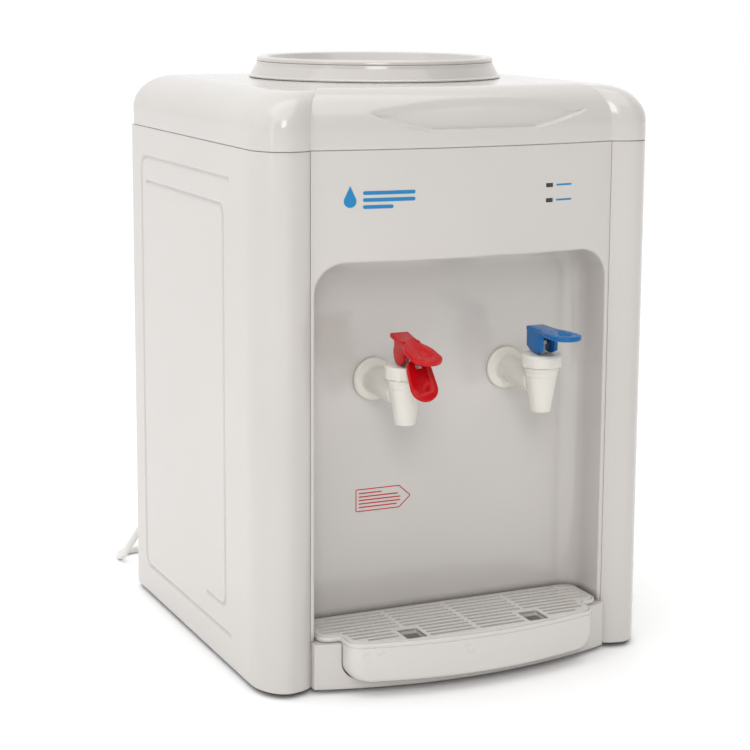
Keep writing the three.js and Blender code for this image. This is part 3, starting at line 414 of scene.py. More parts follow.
def carve(base, *shapes, operation="DIFFERENCE"):
    """base with the shapes cut out of it, or joined to it."""
    tools = [raw("tool", shape) for shape in shapes]
    for tool in tools:
        step = base.modifiers.new("step", "BOOLEAN")
        step.operation = operation
        step.object = tool
        step.solver = "EXACT"
    bpy.context.view_layer.update()
    seen = base.evaluated_get(bpy.context.evaluated_depsgraph_get())
    mesh = bpy.data.meshes.new_from_object(seen)
    base.modifiers.clear()
    base.data = mesh
    for tool in tools:
        bpy.data.objects.remove(tool)
    return base


def merge(shapes):
    """Several shapes that don't touch, as one."""
    verts, faces = [], []
    for v, f in shapes:
        start = len(verts)
        verts += v
        faces += [tuple(i + start for i in face) for face in f]
    return verts, faces


def piece(obj, body, slot, replaces=(), bevel=0.0, sharp=35, segments=3, material=None):
    """obj on a body, in its slot's material unless another is given."""
    mesh = obj.data
    mesh.materials.clear()
    mesh.materials.append(material or SLOT_MATERIAL[slot])
    mesh.shade_smooth()
    if bevel:
        edge = obj.modifiers.new("edge", "BEVEL")
        edge.width = bevel / 1000
        edge.segments = segments
        edge.limit_method = "ANGLE"
        edge.angle_limit = math.radians(sharp)
        edge.harden_normals = True
    else:
        mesh.set_sharp_from_angle(angle=math.radians(sharp))
    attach(obj, body)
    if replaces:
        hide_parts(*replaces)
    return obj


def solid(name, shape, body, slot, replaces=(), **finish):
    """One shape made into a piece."""
    return piece(raw(name, shape), body, slot, replaces, **finish)


def thick(obj):
    step = obj.modifiers.new("wall", "SOLIDIFY")
    step.thickness = SKIN_WALL / 1000
    step.offset = -1


# ---- Mains cord -------------------------------------------------------------------------
# The route's points are the CAD's, in the row frame and in metres.
CORD_RUN = [
    (-0.131, 0.1918, 0.044), (-0.131, 0.201, 0.0436), (-0.1325, 0.210, 0.0408),
    (-0.1355, 0.2175, 0.0345), (-0.1395, 0.2225, 0.0255), (-0.1435, 0.227, 0.0165),
    (-0.1465, 0.232, 0.009), (-0.148, 0.239, 0.0044), (-0.1465, 0.247, 0.0031),
    (-0.141, 0.253, 0.0031), (-0.132, 0.256, 0.0031), (-0.118, 0.256, 0.0031),
    (-0.102, 0.2546, 0.0031), (-0.088, 0.254, 0.0031),
]
CORD_TAIL = [
    (-0.036, 0.254, 0.008), (-0.024, 0.254, 0.0054), (-0.010, 0.2536, 0.0034),
    (0.006, 0.2524, 0.0031), (0.022, 0.2514, 0.0034), (0.036, 0.251, 0.0054),
    (0.048, 0.251, 0.0079), (0.0577, 0.251, 0.0088),
]
COIL_CENTRE = (-0.062, 0.297)
COIL_OUTER = 0.043
COIL_PITCH = 0.0062
COIL_LAYERS = (0.0031, 0.0093)
COIL_TURNS = 3
COIL_STEPS = 18
CORD_DIAMETER = 0.006
PLUG_Y = 251
PLUG_Z = 8.8


def coil_points():
    """In along the floor to the middle, then out again on top, always counter-clockwise."""
    out = []
    total = COIL_TURNS * COIL_STEPS
    inner = COIL_OUTER - COIL_TURNS * COIL_PITCH
    low, high = COIL_LAYERS
    for k in range(2 * total + 1):
        turns = k / COIL_STEPS
        a = 2 * math.pi * turns - math.pi / 2
        if k <= total:
            radius = COIL_OUTER - COIL_PITCH * turns
        else:
            radius = inner + COIL_PITCH * (turns - COIL_TURNS)
        rise = float(smoothstep((turns - COIL_TURNS + 0.22) / 0.3))
        z = low + (high - low) * rise
        out.append((COIL_CENTRE[0] + radius * math.cos(a),
                    COIL_CENTRE[1] + radius * math.sin(a), z))
    return out


def curve_length(obj):
    bpy.context.view_layer.update()
    depth, obj.data.bevel_depth = obj.data.bevel_depth, 0
    seen = obj.evaluated_get(bpy.context.evaluated_depsgraph_get()).to_mesh()
    pts = [v.co.copy() for v in seen.vertices]
    obj.data.bevel_depth = depth
    return sum((b - a).length for a, b in zip(pts, pts[1:]))


def make_cord():
    data = bpy.data.curves.new("mains_lead", "CURVE")
    data.dimensions = "3D"
    data.bevel_depth = CORD_DIAMETER / 2
    data.bevel_resolution = 5
    data.use_fill_caps = True
    data.resolution_u = 5
    points = CORD_RUN + coil_points() + CORD_TAIL
    spline = data.splines.new("BEZIER")
    spline.bezier_points.add(len(points) - 1)
    for knot, point in zip(spline.bezier_points, points):
        knot.co = point
        knot.handle_left_type = knot.handle_right_type = "AUTO"
    lead = bpy.data.objects.new("mains_lead", data)
    link(lead)
    data.materials.append(CORD)
    length = curve_length(lead)
    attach(lead, "cabinet")
    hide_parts("mains_cord", "mains_cord_coil", "mains_cord_tail")
    return lead, length


def own(point):
    """A point in the row frame's millimetres, in cabinet millimetres."""
    x, y, z = point
    return (x, y - ORIGIN_Y, z - ORIGIN_Z)


def plug_shape():
    """The plug's body: rounded sections from the cord to the face, lying along +X."""
    sections = [
        (58.0, 3.7, 3.7, 3.6), (60.5, 4.2, 4.2, 4.1), (68, 5.0, 4.9, 4.6), (76, 6.2, 5.8, 5.2),
        (82, 9.6, 6.6, 5.8), (86, 12.2, 7.0, 6.2), (92, 12.8, 7.0, 6.4), (97, 14.0, 7.3, 6.8),
        (100, 17.0, 8.0, 7.4), (103, 17.9, 8.3, 7.8), (114, 18.0, 8.3, 8.0), (117, 17.6, 8.0, 7.7),
        (118, 16.6, 7.0, 6.8),
    ]
    rows = []
    for x, wide, tall, r in sections:
        loop = rounded_rect(0, 0, 2 * wide, 2 * tall, min(r, wide - 0.05, tall - 0.05), 8)
        rows.append([own((x, PLUG_Y + u, PLUG_Z + v)) for u, v in loop])
    return grid(rows, around=True)


def ring_band(x, wide, tall):
    """A raised grip rib round the plug."""
    loop = rounded_rect(0, 0, 2 * wide, 2 * tall, tall - 0.05, 8)
    rows = []
    for dx, grow in [(-0.8, -0.5), (-0.5, 0.35), (0.5, 0.35), (0.8, -0.5)]:
        scale = [(u * (1 + grow / wide), v * (1 + grow / tall)) for u, v in loop]
        rows.append([own((x + dx, PLUG_Y + u, PLUG_Z + v)) for u, v in scale])
    return grid(rows, around=True)


def make_plug():
    grips = [ring_band(87 + 2.4 * k, 12.3 + 0.1 * k, 7.0) for k in range(4)]
    plug = solid("plug_body", plug_shape(), "cabinet", "cord_white", ["mains_plug"])
    ribs = solid("plug_grip_ribs", merge(grips), "cabinet", "cord_white")
    profile = soften([(0, 116), (2.3, 116), (2.3, 137), (0, 137)], 1.4, 4, False)
    pins = []
    for side in (-9.5, 9.5):
        verts, faces = lathe(profile, 32)
        pins.append(([own((h, PLUG_Y + side + u, PLUG_Z + v)) for u, v, h in verts], faces))
    metal = solid("plug_pins", merge(pins), "cabinet", "steel", material=PIN)
    return [plug, ribs, metal]


def make_tie():
    """A flat tie round the coil's turns on the far side."""
    middle = COIL_OUTER * 1000 - 9.3
    section = rounded_rect(middle, 6.25, 27.4, 12.4, 3.0, 6)
    hole = rounded_rect(middle, 6.25, 26.0, 11.0, 2.4, 6)
    cx, cy = COIL_CENTRE[0] * 1000, COIL_CENTRE[1] * 1000
    rows = []
    for half, loop in [(-2.4, hole), (-2.4, section), (2.4, section), (2.4, hole)]:
        rows.append([own((cx + half, cy + r, z)) for r, z in loop])
    return solid("cord_tie", grid(rows, around=True, fold=True), "cabinet",
                 "dark_plastic", bevel=0.3)


def make_strain_relief():
    """A tapered boot with flex rings, in a collar through the back panel."""
    profile = [(0, 257), (8, 257), (8, 261.4), (5.2, 261.4), (5.2, 264.9), (8.8, 264.9),
               (8.8, 267.6), (7.0, 268.4)]
    length, rings = 19.0, 7
    for k in range(rings):
        y = 269.2 + length * k / rings
        r = 6.5 - 2.1 * k / rings
        profile += [(r, y), (r - 0.1, y + 1.5), (r - 1.0, y + 1.7), (r - 1.1, y + 2.3)]
    profile += [(3.9, 289.2), (3.3, 289.5), (0, 289.5)]
    shape = lathe(soften(profile, 0.25, 2, False), 48, CORD_X, along="y", at=PORT_Z)
    return solid("cord_boot", shape, "cabinet", "foot_rubber", ["strain_relief"])


lead, lead_length = make_cord()
plug_pieces = make_plug()
tie = make_tie()
boot = make_strain_relief()


# ---- Side shells ------------------------------------------------------------------------
PILLAR = [(118.6, -20.6), (122.5, -23.2), (128, -25.2), (136, -26.3), (143.5, -23.3),
          (149.5, -16.5), (153.5, -7.5), (155, 2)]


def dense_steps(low, high, bands, coarse, fine):
    """Steps from low to high, fine inside the bands."""
    out = [low]
    while out[-1] < high - 1e-6:
        here = out[-1]
        inside = any(a <= here < b for a, b in bands)
        step = fine if inside else coarse
        following = [a for a, _ in bands if a > here + 1e-6]
        if not inside and following:
            step = min(step, min(following) - here)
        out.append(min(here + step, high))
    if out[-1] - out[-2] < 0.3 * fine:
        out.pop(-2)
    return out


def line_distance(y, z, line):
    """Distance from grid points to a polyline."""
    best = np.full(np.broadcast(y, z).shape, 1e9)
    for (y0, z0), (y1, z1) in zip(line, line[1:]):
        dy, dz = y1 - y0, z1 - z0
        t = np.clip(((y - y0) * dy + (z - z0) * dz) / max(dy * dy + dz * dz, 1e-9), 0, 1)
        best = np.minimum(best, np.hypot(y - y0 - t * dy, z - z0 - t * dz))
    return best


REAR_GROOVE = [(43, 22.7), *arc(229, 32.7, 10, -90, 0, 8), *arc(229, 346.6, 10, 0, 90, 8),
               (43, 356.6)]
FRONT_GROOVE = [(227, 337), *arc(61, 329, 8, 90, 180, 8), *arc(61, 49.7, 8, 180, 270, 8),
                (93, 41.7)]


def groove_depth(y, z):
    near = np.minimum(line_distance(y, z, REAR_GROOVE), line_distance(y, z, FRONT_GROOVE))
    return 1.5 * 0.5 * (1 + np.cos(np.pi * np.clip(near / 2.1, 0, 1)))


def side_path():
    nose = soften([(118.6, 14), *PILLAR[:2]], 0.7, 5, False)[:-1]
    curve = smooth_line(PILLAR[1:], 5)
    bands = [(38, 64), (88, 96), (222, 244)]
    flat = [(HALF_W, y) for y in dense_steps(6, 258, bands, 9, 0.8)]
    corner = arc(HALF_W - 6, BACK_Y - 6, 6, 0, 90, 7)
    return nose + curve + flat + corner + [(141, BACK_Y)]


def edge_roll(z, low, high):
    """How far a wall's skin turns in next to its upper and lower edges."""
    near = np.minimum(z - low, high - z)
    t = np.clip(1 - near / EDGE_ROLL, 0, 1)
    return EDGE_ROLL * (1 - np.sqrt(np.maximum(1 - t * t, 0)))


def make_side(name, mirror):
    path = np.array(side_path())
    tangent = np.gradient(path, axis=0)
    tangent /= np.linalg.norm(tangent, axis=1, keepdims=True)
    outward = np.stack([tangent[:, 1], -tangent[:, 0]], 1)
    bands = [(18, 54), (322, 361)]
    heights = [0, 0.12, 0.35, 0.6, *dense_steps(2, 377.6, bands, 9, 0.8), 379.2, 379.5, 379.7,
               379.85]
    heights = np.array(heights)[:, None]
    flat = np.abs(path[:, 0] - HALF_W) < 0.01
    depth = groove_depth(path[None, :, 1], heights) * flat[None, :]
    depth = depth + edge_roll(heights, 0, 379.85)
    rows = []
    for z, push in zip(heights[:, 0], depth):
        pts = path - outward * push[:, None]
        rows.append([(mirror * x, y, z) for x, y in pts])
    shell = raw(name, grid(rows))
    aim_outward(shell, (0, 130, 190))
    thick(shell)
    return piece(shell, "cabinet", "body_white", [name.replace("_skin", "_shell")], sharp=50)


def aim_outward(obj, centre):
    """Turns an open sheet's faces away from a point in the cabinet."""
    middle = Vector(place(centre))
    mesh = obj.data
    facing = sum((p.center - middle).dot(p.normal) * p.area for p in mesh.polygons)
    if facing < 0:
        mesh.flip_normals()


make_side("right_side_skin", 1)
make_side("left_side_skin", -1)


def make_seam_tongues():
    """Thin lips behind the upright seams and the seam under the cover."""
    for name, x in (("left", -118.4), ("right", 118.4)):
        plan = rounded_rect(x, -18.2, 2.4, 2.6, 0.2, 2)
        solid(name + "_seam_tongue", slab(plan, 0.6, 379, 0.1, 1), "cabinet", "body_white",
              sharp=30)
    half = [(x, bow(x)) for x in np.linspace(0, 117.6, 40)] + [(119, -20.6), *PILLAR[1:]]
    half += [(HALF_W, y) for y in np.linspace(12, BACK_Y - 14, 20)]
    half += arc(HALF_W - 8, BACK_Y - 8, 8, 0, 90, 8) + [(100, BACK_Y), (0, BACK_Y)]
    loop = half + [(-x, y) for x, y in half[-2:0:-1]]
    outer, inner = inset(loop, 1.0), inset(loop, 2.4)
    rows = [[(x, y, z) for x, y in line] for line, z in
            ((outer, 377.5), (outer, 382.5), (inner, 382.5), (inner, 377.5))]
    solid("cover_seam_tongue", grid(rows, around=True, fold=True), "cabinet", "body_white",
          sharp=30)


make_seam_tongues()


# ---- Top cover --------------------------------------------------------------------------
HOLE_R = 85.6
TOP_ROWS = 16


def cover_outline():
    """Half of the plan from the middle of the front round to the middle of the back."""
    front = [(x, bow(x)) for x in np.linspace(0, 117.2, 60)]
    valley = soften([(117.2, bow(117.2)), (118.5, -20.9), (119.9, -21.8)], 0.8, 4, False)[1:]
    curve = smooth_line([(119.9, -21.8), *PILLAR[1:]], 6)[1:]
    side = [(HALF_W, y) for y in np.linspace(6, BACK_Y - 14, 60)]
    corner = arc(HALF_W - 12, BACK_Y - 12, 12, 0, 90, 12)
    back = [(x, BACK_Y) for x in np.linspace(HALF_W - 16, 0, 36)]
    return front, valley + curve + side + corner + back


def cover_ring(points, shrink, z):
    middle = (SEAM_Y - FASCIA_BOW + BACK_Y) / 2
    half = BACK_Y - middle
    x, y = points[:, 0], points[:, 1]
    new_x = x * (1 - shrink / HALF_W * (np.abs(x) / HALF_W) ** 1.2)
    new_y = middle + (y - middle) * (half - shrink) / half
    return np.stack([new_x, new_y, np.full_like(x, z)], 1)


def scoop(x, z):
    """The shallow smile pressed into the front of the cover."""
    t = 1 - ((x - 10) / 90) ** 2
    low = 405.5 - 17.5 * t
    high = 405.5 + 9.5 * t
    inside = smoothstep((z - low) / 1.5) * smoothstep((high - z) / 6)
    return np.where(t > 0, 2.6 * inside, 0)


def make_cover():
    front, rest = cover_outline()
    half = np.array(front + rest)
    mirror = half[1:-1][::-1] * [-1, 1]
    outline = np.concatenate([half, mirror])
    on_band = np.zeros(len(outline))
    on_band[:len(front)] = 1
    on_band[-(len(front) - 1):] = 1
    facing_front = outline[:, 1] < 0
    rows = []
    base = SEAM_Z + 0.2
    steps = [base, base + 0.12, base + 0.35, base + 0.6, 383.5, 386, 388.5, 390.5, 392]
    for z in steps:
        roll = float(edge_roll(np.array(z), base, 1000))
        rows.append(cover_ring(outline, roll, z))
    arcs = 34
    for k in range(arcs + 1):
        a = math.pi / 2 * k / arcs
        rows.append(cover_ring(outline, SHOULDER * (1 - math.cos(a)),
                               COVER_TOP - SHOULDER + SHOULDER * math.sin(a)))
    rows = np.array(rows)
    press_front(rows, facing_front, len(steps))
    raise_band(rows, on_band, len(steps), arcs)
    top = rows[-1]
    lines = top_rows(top)
    skin = grid([list(map(tuple, row)) for row in [*rows, *lines]], around=True, caps=False)
    cover = raw("top_cover_skin", skin)
    aim_outward(cover, (0, 130, 380))
    thick(cover)
    piece(cover, "cabinet", "body_white", ["top_cover"], sharp=50)


def press_front(rows, facing_front, first):
    """Moves the scoop's points in along the shoulder's normal."""
    for row in rows[first:]:
        push = scoop(row[:, 0], row[:, 2]) * facing_front
        lift = np.clip((row[:, 2] - (COVER_TOP - SHOULDER)) / SHOULDER, 0, 1)
        row[:, 1] += push * np.sqrt(1 - lift ** 2)
        row[:, 2] -= push * lift


def raise_band(rows, on_band, first, arcs):
    """The middle of the cover stands a little above its two sides."""
    for k in range(arcs + 1):
        row = rows[first + k]
        row[:, 2] -= (1 - on_band) * 1.5 * math.sin(math.pi / 2 * k / arcs) ** 2


def top_rows(edge):
    """Rows from the shoulder in to the hole under the collar."""
    angle = np.arctan2(edge[:, 1] - SEAT_Y, edge[:, 0])
    hole = np.stack([HOLE_R * np.cos(angle), SEAT_Y + HOLE_R * np.sin(angle),
                     np.full_like(angle, COVER_TOP)], 1)
    out = []
    for t in np.linspace(0, 1, TOP_ROWS + 1)[1:]:
        row = edge * (1 - t) + hole * t
        row[:, 2] = edge[:, 2] + (COVER_TOP - edge[:, 2]) * smoothstep(t / 0.9)
        out.append(row)
    return out


make_cover()


# ---- Fascia, niche and ledge ------------------------------------------------------------
NICHE_HALF = 115.2
NICHE_ROUND = 22.0
FILLET = 14.0


def niche_rays():
    """Points round the niche's mouth, each with the way out of it and the panel's edge."""
    low, high = LEDGE_TOP, NICHE_TOP - NICHE_ROUND
    rays = [((-NICHE_HALF, z), (-1, 0)) for z in np.linspace(low, high, 28)]
    cx = NICHE_HALF - NICHE_ROUND
    for a in np.linspace(180, 90, 25)[1:]:
        way = (math.cos(math.radians(a)), math.sin(math.radians(a)))
        rays.append(((-cx + NICHE_ROUND * way[0], high + NICHE_ROUND * way[1]), way))
    rays += [((x, NICHE_TOP), (0, 1)) for x in np.linspace(-cx, cx, 40)[1:]]
    right = [((-x, z), (-u, v)) for (x, z), (u, v) in rays if x < -cx - 1e-6]
    return rays + right[::-1]


def panel_edge(point, way):
    """Where a ray from the niche's mouth meets the panel's edge."""
    (x, z), (u, v) = point, way
    reach = []
    if abs(u) > 1e-9:
        reach.append((math.copysign(PANEL_HALF, u) - x) / u)
    if v > 1e-9:
        reach.append((SEAM_Z - 0.25 - z) / v)
    t = min(reach)
    return (x + u * t, z + v * t)


def make_front():
    rays = niche_rays()
    rows = []
    edges = [panel_edge(p, w) for p, w in rays]
    top = SEAM_Z - 0.25
    for side in (-1, 1):
        near = min(range(len(edges)), key=lambda i: math.dist(edges[i], (side * PANEL_HALF, top)))
        edges[near] = (side * PANEL_HALF, top)
    lips = [min(2.4, 0.55 * math.dist(e, p)) for e, (p, _) in zip(edges, rays)]
    rows += [[(x, bow(x) + back, z) for x, z in edges] for back in (2.5, 0.3)]
    for t in [0.004, *np.linspace(0.05, 1, 14)]:
        row = []
        for (ex, ez), (p, w), lip in zip(edges, rays, lips):
            lx, lz = p[0] + w[0] * lip, p[1] + w[1] * lip
            x, z = ex + (lx - ex) * t, ez + (lz - ez) * t
            row.append((x, bow(x), z))
        rows.append(row)
    for k in range(1, 6):
        a = math.pi / 2 * k / 5
        row = []
        for (p, w), lip in zip(rays, lips):
            d = lip * (1 - math.sin(a))
            x, z = p[0] + w[0] * d, p[1] + w[1] * d
            row.append((x, bow(x) + lip * (1 - math.cos(a)), z))
        rows.append(row)
    rows.append([(p[0], -2.0, p[1]) for p, _ in rays])
    for k in range(9):
        a = math.pi / 2 * k / 8
        d = FILLET * (1 - math.cos(a))
        rows.append([(p[0] - w[0] * d, NICHE_BACK - FILLET + FILLET * math.sin(a), p[1] - w[1] * d)
                     for p, w in rays])
    verts, faces = grid(rows)
    count = len(rays)
    faces.append(tuple(range(len(verts) - count, len(verts))))
    panel = raw("front_panel_skin", (verts, faces))
    flat = max(panel.data.polygons, key=lambda p: len(p.vertices))
    if flat.normal.y > 0:
        panel.data.flip_normals()
    thick(panel)
    piece(panel, "cabinet", "body_white", ["front_panel"], sharp=40)


def ledge_pairs():
    """Points down, along and up the drawer's opening, each with its point on the rim."""
    r, cx, cz = 12.0, 87.1, 19.4
    side = PANEL_HALF - 0.5
    pairs = [((DRAWER_HALF, z), (side, z)) for z in np.linspace(LEDGE_TOP - 0.2, cz, 6)]
    for a in np.linspace(0, -90, 15)[1:]:
        u, v = math.cos(math.radians(a)), math.sin(math.radians(a))
        reach = [(side - cx) / u] if u > 1e-6 else []
        if v < -1e-6:
            reach.append(-cz / v)
        t = min(reach)
        pairs.append(((cx + r * u, cz + r * v), (cx + t * u, cz + t * v)))
    half = pairs + [((x, cz - r), (x, 0)) for x in np.linspace(cx, 0, 24)[1:]]
    left = [((-a[0], a[1]), (-b[0], b[1])) for a, b in half[:-1]]
    return half + left[::-1]


def make_ledge():
    def front(x):
        return bow(x, LEDGE_Y, LEDGE_BOW)
    sections = []
    for (ix, iz), (ox, oz) in ledge_pairs():
        wide = math.dist((ix, iz), (ox, oz))
        ux, uz = (ox - ix) / wide, (oz - iz) / wide
        loop = [(ix, 17.0, iz)]
        for k in range(5):
            a = math.pi / 2 * k / 4
            d = 0.6 * (1 - math.cos(a))
            x = ix + ux * d
            loop.append((x, front(x) + 0.6 * (1 - math.sin(a)), iz + uz * d))
        for t in (0.35, 0.65):
            x = ix + (ox - ix) * t
            loop.append((x, front(x), iz + (oz - iz) * t))
        for k in range(4):
            a = math.pi / 2 * (1 - k / 3)
            d = 0.8 * (1 - math.cos(a))
            x = ox - ux * d
            loop.append((x, front(x) + 0.8 * (1 - math.sin(a)), oz - uz * d))
        loop.append((ox, 17.0, oz))
        sections.append(loop)
    ledge = raw("ledge_skin", grid(sections, around=True))
    piece(ledge, "cabinet", "body_white", sharp=40)
    half = PANEL_HALF - 0.4
    shelf = ([(half, 17.5), (-half, 17.5)]
             + [(x, bow(x, LEDGE_Y, LEDGE_BOW) + 3) for x in np.linspace(-half, half, 31)])
    shelf_top = raw("ledge_sides", slab(list(reversed(shelf)), 29.8, 33.0, 0.5))
    cutter = [(-DRAWER_HALF, -90), (DRAWER_HALF, -90), (DRAWER_HALF, 16.9), (-DRAWER_HALF, 16.9)]
    carve(shelf_top, slab(cutter, 20, 40, 0.1, 1))
    piece(shelf_top, "cabinet", "body_white", bevel=0.3)


make_front()
make_ledge()


# ---- Lamps and generic marks ------------------------------------------------------------
def on_bow(stations, lift):
    """A thin raised shape on the bowed fascia, from (x, lower z, upper z) stations."""
    rows = []
    for x, low, high in stations:
        front, back = bow(x) - lift, bow(x) + 0.3
        rows.append([(x, front, low), (x, front, high), (x, back, high), (x, back, low)])
    return grid(rows, around=True)


def stripe(x0, x1, z, tall, lift=0.12):
    stations = []
    end = tall / 2
    for x in [*(x0 + end * (1 - math.cos(a)) for a in np.linspace(0, math.pi / 2, 6)),
              *np.linspace(x0 + end, x1 - end, 16)[1:-1],
              *(x1 - end * (1 - math.sin(a)) for a in np.linspace(0, math.pi / 2, 6))]:
        reach = max(x0 + end - x, x - x1 + end, 0)
        half = max(math.sqrt(max(end ** 2 - reach ** 2, 0)), 0.05)
        stations.append((x, z - half, z + half))
    return on_bow(stations, lift)


def block(x0, x1, z, tall, lift):
    return on_bow([(x, z - tall / 2, z + tall / 2) for x in np.linspace(x0, x1, 5)], lift)


def drop(cx, cz, r):
    """A water drop: a disc drawn out to a point above."""
    stations = []
    for u in np.sin(np.linspace(-math.pi / 2, math.pi / 2, 25)) * 0.995:
        low = cz - r * math.sqrt(1 - u * u)
        side = abs(u)
        high = cz + r * math.sqrt(1 - u * u)
        if side < 0.82:
            high = max(high, cz + r * (2.35 - 2.17 * side))
        stations.append((cx + r * float(u), low, high))
    return on_bow(stations, 0.12)


def make_marks():
    marks = [drop(-91, 345.2, 4.5), stripe(-82, -44, 350.6, 2.6), stripe(-82, -44, 345.8, 2.6),
             stripe(-82, -60, 341.0, 2.6)]
    labels = [stripe(68.5, 82, z, 1.3, 0.08) for _, z in LAMPS]
    for name, shapes in (("front_mark", marks), ("lamp_labels", labels)):
        solid(name, merge(shapes), "cabinet", "blue_plastic", material=INK_BLUE, sharp=30)


def make_lamps():
    for name, z in LAMPS:
        solid(name + "_lamp_bezel", block(59.8, 65.6, z, 2.9, 0.07), "cabinet",
              "dark_plastic", sharp=30)
        solid(name + "_lamp_window", block(60.4, 65.0, z, 1.8, 0.25), "cabinet",
              "lamp_lens", sharp=30)


def make_sticker():
    """A plain red outline low on the niche's wall, with no text."""
    outer = soften([(-67, 112.5), (-32, 112.5), (-22.5, 121), (-32, 129.5), (-67, 129.5)], 1.2, 3)
    inner = inset(outer, 0.75)
    depth = NICHE_BACK
    rows = [[(x, depth + push, z) for x, z in line] for line, push in
            ((outer, 0.2), (outer, -0.1), (inner, -0.1), (inner, 0.2))]
    frame_shape = grid(rows, around=True, fold=True)
    lines = []
    for k, end in enumerate((-46, -33, -31, -31, -34)):
        bar = rounded_rect((end - 64.5) / 2, 126.2 - 2.6 * k, end + 64.5, 0.9, 0.4, 3)
        lines.append(turn_y(prism(bar, depth - 0.1, depth + 0.2)))
    solid("niche_sticker", merge([frame_shape, *lines]), "cabinet", "red_plastic",
          material=INK_RED, sharp=30)


make_marks()
make_lamps()
make_sticker()


# ---- Bottle seat ------------------------------------------------------------------------
def make_collar():
    base = COVER_TOP + 0.3
    profile = [(86, base), (96.5, base), (96.5, base + 1.1), (95.2, base + 1.9), (91.1, 430.6),
               (90.4, 433.2), (83.6, 433.2), (83.6, 430), (87.5, 430), (91, base + 3),
               (86, base + 3)]
    shape = lathe(soften(profile, 0.5, 4), 128, 0, SEAT_Y)
    solid("bottle_collar_ring", shape, "cabinet", "body_white", ["bottle_collar"],
          sharp=60)


def make_seat():
    profile = [(90.4, 433.4), (90.5, 433.9), (90.2, 435.6), (88.2, 437), (82.4, 436.4),
               (77, 425), (70, 414.5), (61, 405), (51, 400), (42, 397), (34.6, 389), (33, 377),
               (36, 377),
               (37.2, 386.5), (43.4, 393.4), (52, 396.6), (62, 401.4), (78.2, 421.4), (83, 431),
               (83, 433.4)]

    def rib(angle, r, z):
        if not 42 < r < 81 or z < seat_floor(r) - 1.2:
            return 0
        turn = (angle * 180 / math.pi + 30) % 60 - 30
        return 2.0 * math.exp(-(turn / 1.1) ** 2) * math.sin(math.pi * (r - 42) / 39) ** 0.5

    shape = lathe(soften(profile, 1.6, 4), 240, 0, SEAT_Y, ripple=rib)
    solid("bottle_seat_bowl", shape, "bottle_seat", "body_white", ["bottle_seat"],
          sharp=60)


def seat_floor(r):
    return float(np.interp(r, [42, 51, 61, 70, 77, 82.4], [397, 400, 405, 414.5, 425, 436]))


def make_probe():
    profile = [(0, 414), (6.6, 409.2), (8.5, 405), (10, 378), (36, 376.7), (36, 374.6),
               (8.5, 374.6), (8.5, 350), (6, 350), (5.5, 402), (0, 407)]
    shape = lathe(soften(profile, 0.7, 3, False), 64, 0, SEAT_Y)
    probe = raw("feed_probe_skin", shape)
    windows = []
    for turn in (0, 90, 180, 270):
        a = math.radians(turn)
        outline = rounded_rect(0, 391.5, 4.8, 15, 2.2, 5)
        verts, faces = grid([[(5.2, u, v) for u, v in outline], [(16, u, v) for u, v in outline]],
                            around=True)
        windows.append(([(x * math.cos(a) - y * math.sin(a),
                          SEAT_Y + x * math.sin(a) + y * math.cos(a), z) for x, y, z in verts],
                        faces))
    carve(probe, merge(windows))
    piece(probe, "bottle_seat", "tap_white", ["feed_probe"], bevel=0.25, sharp=45)


make_collar()
make_seat()
make_probe()


# ---- Taps -------------------------------------------------------------------------------
def tap_cone(x):
    profile = [(5.6, 189), (7.3, 189), (8.5, 196.5), (11.3, 214), (11.4, 215.2), (12.1, 215.8),
               (12.2, 218.4), (12.7, 219), (12.7, 221.4), (12.3, 221.8), (12.3, 229),
               (10.6, 229), (10.6, 212), (9.0, 202.4), (5, 202), (5.6, 200)]
    return lathe(soften(profile, 0.5, 3), 72, x, TAP_Y)


def tap_barrel(x):
    profile = [(3.4, -31), (10.9, -31), (10.6, -20), (9.4, 11.5), (10.4, 13.6), (14.6, 14.4),
               (15.7, 15.4), (15.7, 17.6), (8, 17.6), (8, 32), (5, 32), (5, 39.8), (3.4, 39.8)]
    return lathe(soften(profile, 0.8, 4), 72, x, along="y", at=TAP_Z)


def tap_cap(x):
    """A screwed cap with shallow grips round its lower half."""
    rows = []
    seg = 160
    profile = soften([(12.6, 221.9), (14.4, 221.9), (14.8, 222.8), (14.8, 229.4), (13.8, 231),
                      (4.6, 231), (4.6, 229.3), (12.6, 229.3)], 0.5, 3)
    for j in range(seg):
        a = 2 * math.pi * j / seg
        wave = 0.5 - 0.5 * math.cos(8 * a)
        row = []
        for r, z in profile:
            grip = 0.7 * (wave > 0.32) if (r > 13.7 and z < 226.3) else 0
            row.append((x + (r - grip) * math.cos(a), TAP_Y + (r - grip) * math.sin(a), z))
        rows.append(row)
    return grid(rows, around=True, fold=True)


def make_tap(name, x):
    solid(name + "_tap_cone", tap_cone(x), "cabinet", "tap_white",
          [name + "_tap_body"], sharp=45)
    solid(name + "_tap_barrel", tap_barrel(x), "cabinet", "tap_white", sharp=45)
    solid(name + "_tap_ring", tap_cap(x), "cabinet", "tap_white",
          [name + "_tap_cap"], sharp=40)
    stem = soften([(0, 202.4), (6, 202.4), (8.8, 204.4), (8.8, 207.4), (2.6, 208.6),
                   (2.6, 237.6), (3.7, 238.2), (3.7, 241), (0, 241.6)], 0.5, 3, False)
    solid(name + "_tap_plunger", lathe(stem, 40, x, TAP_Y), name + "_stem", "silicone",
          [name + "_tap_stem"], sharp=45)


def lever_outline(x):
    tip = arc(0, LEVER_TIP + 11, 11, 180, 360, 28)
    left = [(-7, -26), (-7, -44), (-7.6, -49), (-9.6, -54), (-10.8, -59)]
    right = [(-u, v) for u, v in reversed(left)]
    return [(x + u, v) for u, v in soften(left + tip + right, 1.0, 3)]


